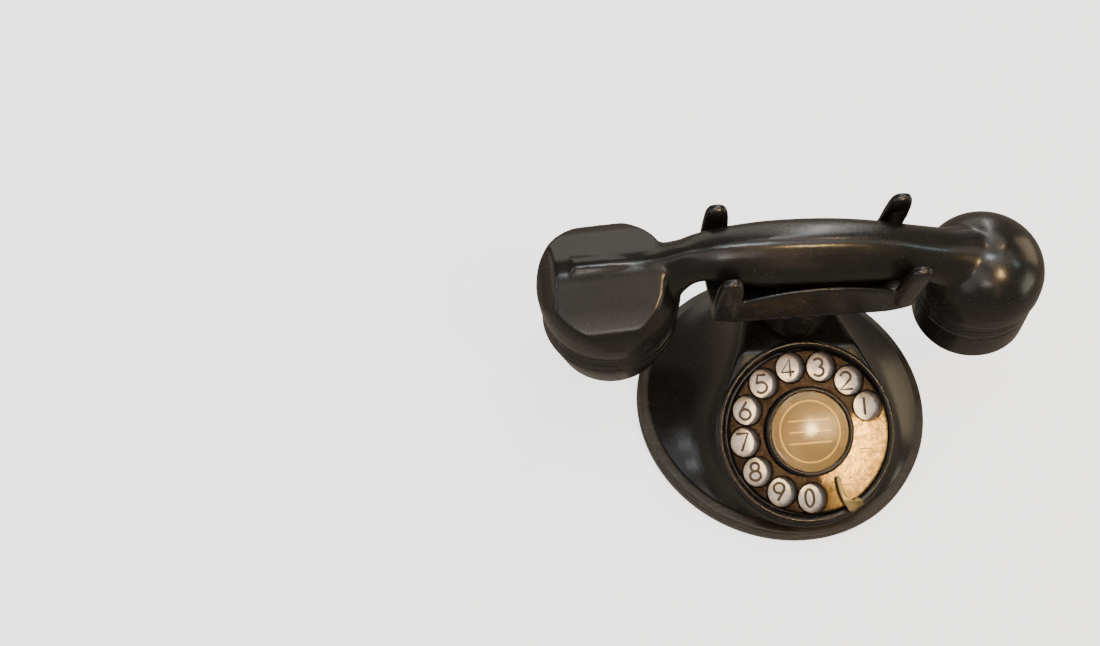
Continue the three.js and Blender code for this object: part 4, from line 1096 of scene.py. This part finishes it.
def handset_body():
    tx, rx = cup_place(TX), cup_place(RX)
    piece = join([body(handle, at=HANDSET), body(shoulder, at=tx), body(dome, at=rx)], "handset_shell")
    fuse(piece, 0.8, 8)
    melt(piece, [(-60, 26, 98, 20), (-60, 12, 88, 16), (62, 25, 98, 24)], 60)
    for cup, at in ((TX, tx), (RX, rx)):
        r, seam = cup["r"], cup["seam"]
        combine(piece, [turned(tube(0, r - 3.6, seam - 12, seam + 9), at)])
        combine(piece, [turned(tube(r - 7, r - 4.2, seam - 9, seam + 9.4), at, 72)], "UNION")
    combine(piece, [turned(tube(0, BUSH_HOLE_R, 0, 40), tx @ place(z=BUSH_H, rx=-90), 24)])
    finish_piece(piece, "handset", "bakelite", ["handset_body"], angle=50)


# Turned grooves round each cap: height, half width, depth.
TX_GROOVES = ((18.6, 0.6, 0.6), (22.6, 0.3, 0.25), (26.4, 0.6, 0.4), (28.8, 0.3, 0.25))
RX_GROOVES = ((21.4, 0.6, 0.6), (24.7, 0.3, 0.25), (27.3, 0.6, 0.4), (29.5, 0.3, 0.25))


def cup_cap(cup, name, grooves, node):
    """Screwed cap with turned grooves and sound holes."""
    r, seam, wall = cup["r"], cup["seam"], cup["wall"]
    rim = wall[0][0]

    def radius(h):
        i = next(k for k in range(1, len(wall)) if wall[k][1] >= h)
        (r0, h0), (r1, h1) = wall[i - 1], wall[i]
        return lerp(r0, r1, (h - h0) / (h1 - h0))

    side = list(wall)
    for h, half, depth in grooves:
        side += [(radius(h - half), h - half), (radius(h) - depth, h - 0.4 * half),
                 (radius(h) - depth, h + 0.4 * half), (radius(h + half), h + half)]
    side.sort(key=lambda p: p[1])
    middle, inside = (0, 1.2), (0, 3.6)
    # The two ends on the axis stay sharp: the four points of each one's rounding are left out.
    bends = rounded([middle, (rim - 4.5, 0.6), (rim - 2, 0), *side, (r - 3.8, seam), (r - 3.8, 17),
                     (radius(4.4) - 2.4, 4.4), inside], 0.3, 3)[4:-4]
    cap = to_object(turned([middle, *bends, inside], cup_place(cup), 128), name)
    for at in [place()] + [place(*polar(8, i * 60)) for i in range(6)]:
        combine(cap, [turned(tube(0, SOUND_HOLE_R, -2, 6), cup_place(cup) @ at, 20)])
    finish_piece(cap, "handset", "bakelite", [node])


# ---------------- stage

# Where the camera stands, in metres, its turns about x, y and z, in degrees, and its lens, in mm.
CAMERA_AT = (-0.2142, -0.3311, 0.6914)
CAMERA_PITCH, CAMERA_ROLL, CAMERA_YAW = 29.89, -4.77, -7.34
LENS, SENSOR = 52.37, 36


def set_camera():
    data = bpy.data.cameras.new("camera")
    data.sensor_width, data.lens = SENSOR, LENS
    data.clip_start, data.clip_end = 0.01, 50
    camera = bpy.data.objects.new("camera", data)
    bpy.context.scene.collection.objects.link(camera)
    camera.location = CAMERA_AT
    camera.rotation_euler = [math.radians(turn) for turn in (CAMERA_PITCH, CAMERA_ROLL, CAMERA_YAW)]
    bpy.context.scene.camera = camera


def soft_box(name, at, target, size, power, colour):
    data = bpy.data.lights.new(name, "AREA")
    data.shape = "RECTANGLE"
    data.size, data.size_y = size
    data.energy = power
    data.color = colour
    light = bpy.data.objects.new(name, data)
    bpy.context.scene.collection.objects.link(light)
    light.location = at
    light.rotation_euler = (target - at).to_track_quat("-Z", "Y").to_euler()


# Soft boxes round the object: name, azimuth and elevation in degrees, width and height in metres,
# brightness, colour.
BOX_DISTANCE = 1.5
BOXES = (
    ("ceiling_back", 120, 80, 0.6, 0.6, 2.1, (0.9, 0.97, 1)),
    ("ceiling_front", 0, 78, 0.6, 0.6, 1.7, (0.95, 0.97, 1)),
    ("ceiling_right", 60, 58, 0.6, 0.6, 1.0, (1, 0.9, 0.82)),
    ("ceiling_line", 90, 87, 0.34, 0.16, 18, (0.95, 0.98, 1)),
    ("back_window", 69, 33, 0.07, 1.4, 10, (1, 0.98, 0.96)),
    ("right_high", 0, 58, 0.6, 0.6, 0.9, (1, 0.88, 0.7)),
    ("camera_side", -120, 58, 0.6, 0.6, 1.2, (1, 0.9, 0.85)),
    ("camera_line", -99, 49, 0.36, 0.1, 10, (1, 0.9, 0.82)),
    ("warm_glow", -76, 76, 0.2, 0.2, 3, (1, 0.58, 0.36)),
    ("warm_band", -76, 44, 0.14, 1.1, 1.3, (1, 0.6, 0.4)),
    ("left_high", 180, 58, 0.6, 0.6, 0.8, (0.85, 0.92, 1)),
    ("left_front", -140, 33, 0.6, 0.6, 1.0, (0.95, 0.98, 1)),
    ("left_low", 180, 12, 0.6, 0.6, 0.9, (0.9, 0.94, 1)),
    ("left_window_near", -172, 30, 0.1, 0.7, 6, (0.93, 0.96, 1)),
    ("left_window_far", 170, 31, 0.08, 0.7, 6, (0.93, 0.96, 1)),
    ("right_low_front", -20, 12, 0.6, 0.6, 2.1, (1, 1, 0.75)),
    ("right_low", 20, 14, 0.7, 0.7, 1.9, (1, 0.78, 0.48)),
    ("back_low", 82, 12, 1.1, 0.6, 0.8, (1, 0.93, 0.84)),
    ("right_blue", -8, 44, 0.12, 0.12, 9, (0.6, 0.95, 1)),
    ("warm_lamp", -56, 59, 0.13, 0.13, 125, (1, 0.66, 0.3)),
    ("warm_spot", 42, 59, 0.08, 0.08, 40, (1, 0.6, 0.34)),
)
FLOOR_GLOW, MIRRORED_FLOOR, MIRRORED_GLOW = 2.0, (0.62, 0.5, 0.38, 1), 0.42
ROOM_COLOUR, ROOM_LIGHT = (1, 0.94, 0.84, 1), 0.19


def floor_material():
    """Pale glowing floor that mirror-like surfaces see as a dim warm one."""
    material = aged_material("pale_floor", (0.86, 0.86, 0.86), (0.84, 0.84, 0.84), 0.7, 0.8,
                             scratch=0.0, bump=0.0, specular=0.1)
    n = Nodes(material.node_tree)
    nodes = {node.type: node for node in n.tree.nodes}
    pale, output = nodes["BSDF_PRINCIPLED"], nodes["OUTPUT_MATERIAL"]
    pale.inputs["Emission Color"].default_value = (1, 1, 1, 1)
    pale.inputs["Emission Strength"].default_value = FLOOR_GLOW
    dim = n.add("ShaderNodeEmission", in_Color=MIRRORED_FLOOR, in_Strength=MIRRORED_GLOW)
    n.link(by_ray(n, "Is Glossy Ray", pale, dim), output.inputs["Surface"])
    return material


def set_stage():
    bm = bmesh.new()
    bmesh.ops.create_grid(bm, x_segments=1, y_segments=1, size=6)
    floor = to_object(bm, "floor")
    floor.location.z = -0.0002
    floor.data.materials.append(floor_material())
    world = bpy.data.worlds.new("studio")
    world.use_nodes = True
    background = world.node_tree.nodes["Background"]
    background.inputs[0].default_value = ROOM_COLOUR
    background.inputs[1].default_value = ROOM_LIGHT
    bpy.context.scene.world = world
    middle = Vector((0, 0, 0.05))
    for name, azimuth, elevation, width, height, brightness, colour in BOXES:
        turn, rise = math.radians(azimuth), math.radians(elevation)
        way = Vector((math.cos(turn) * math.cos(rise), math.sin(turn) * math.cos(rise), math.sin(rise)))
        power = math.pi * width * height * brightness
        soft_box(name, middle + way * BOX_DISTANCE, middle, (width, height), power, colour)


set_camera()
set_stage()
paint_cad_nodes()
base_housing()
foot_ring()
cradle()
number_plate()
numerals()
finger_wheel()
dial_trim()
finger_stop()
handset_body()
cup_cap(TX, "transmitter_cover", TX_GROOVES, "transmitter_cap")
cup_cap(RX, "receiver_cover", RX_GROOVES, "receiver_cap")
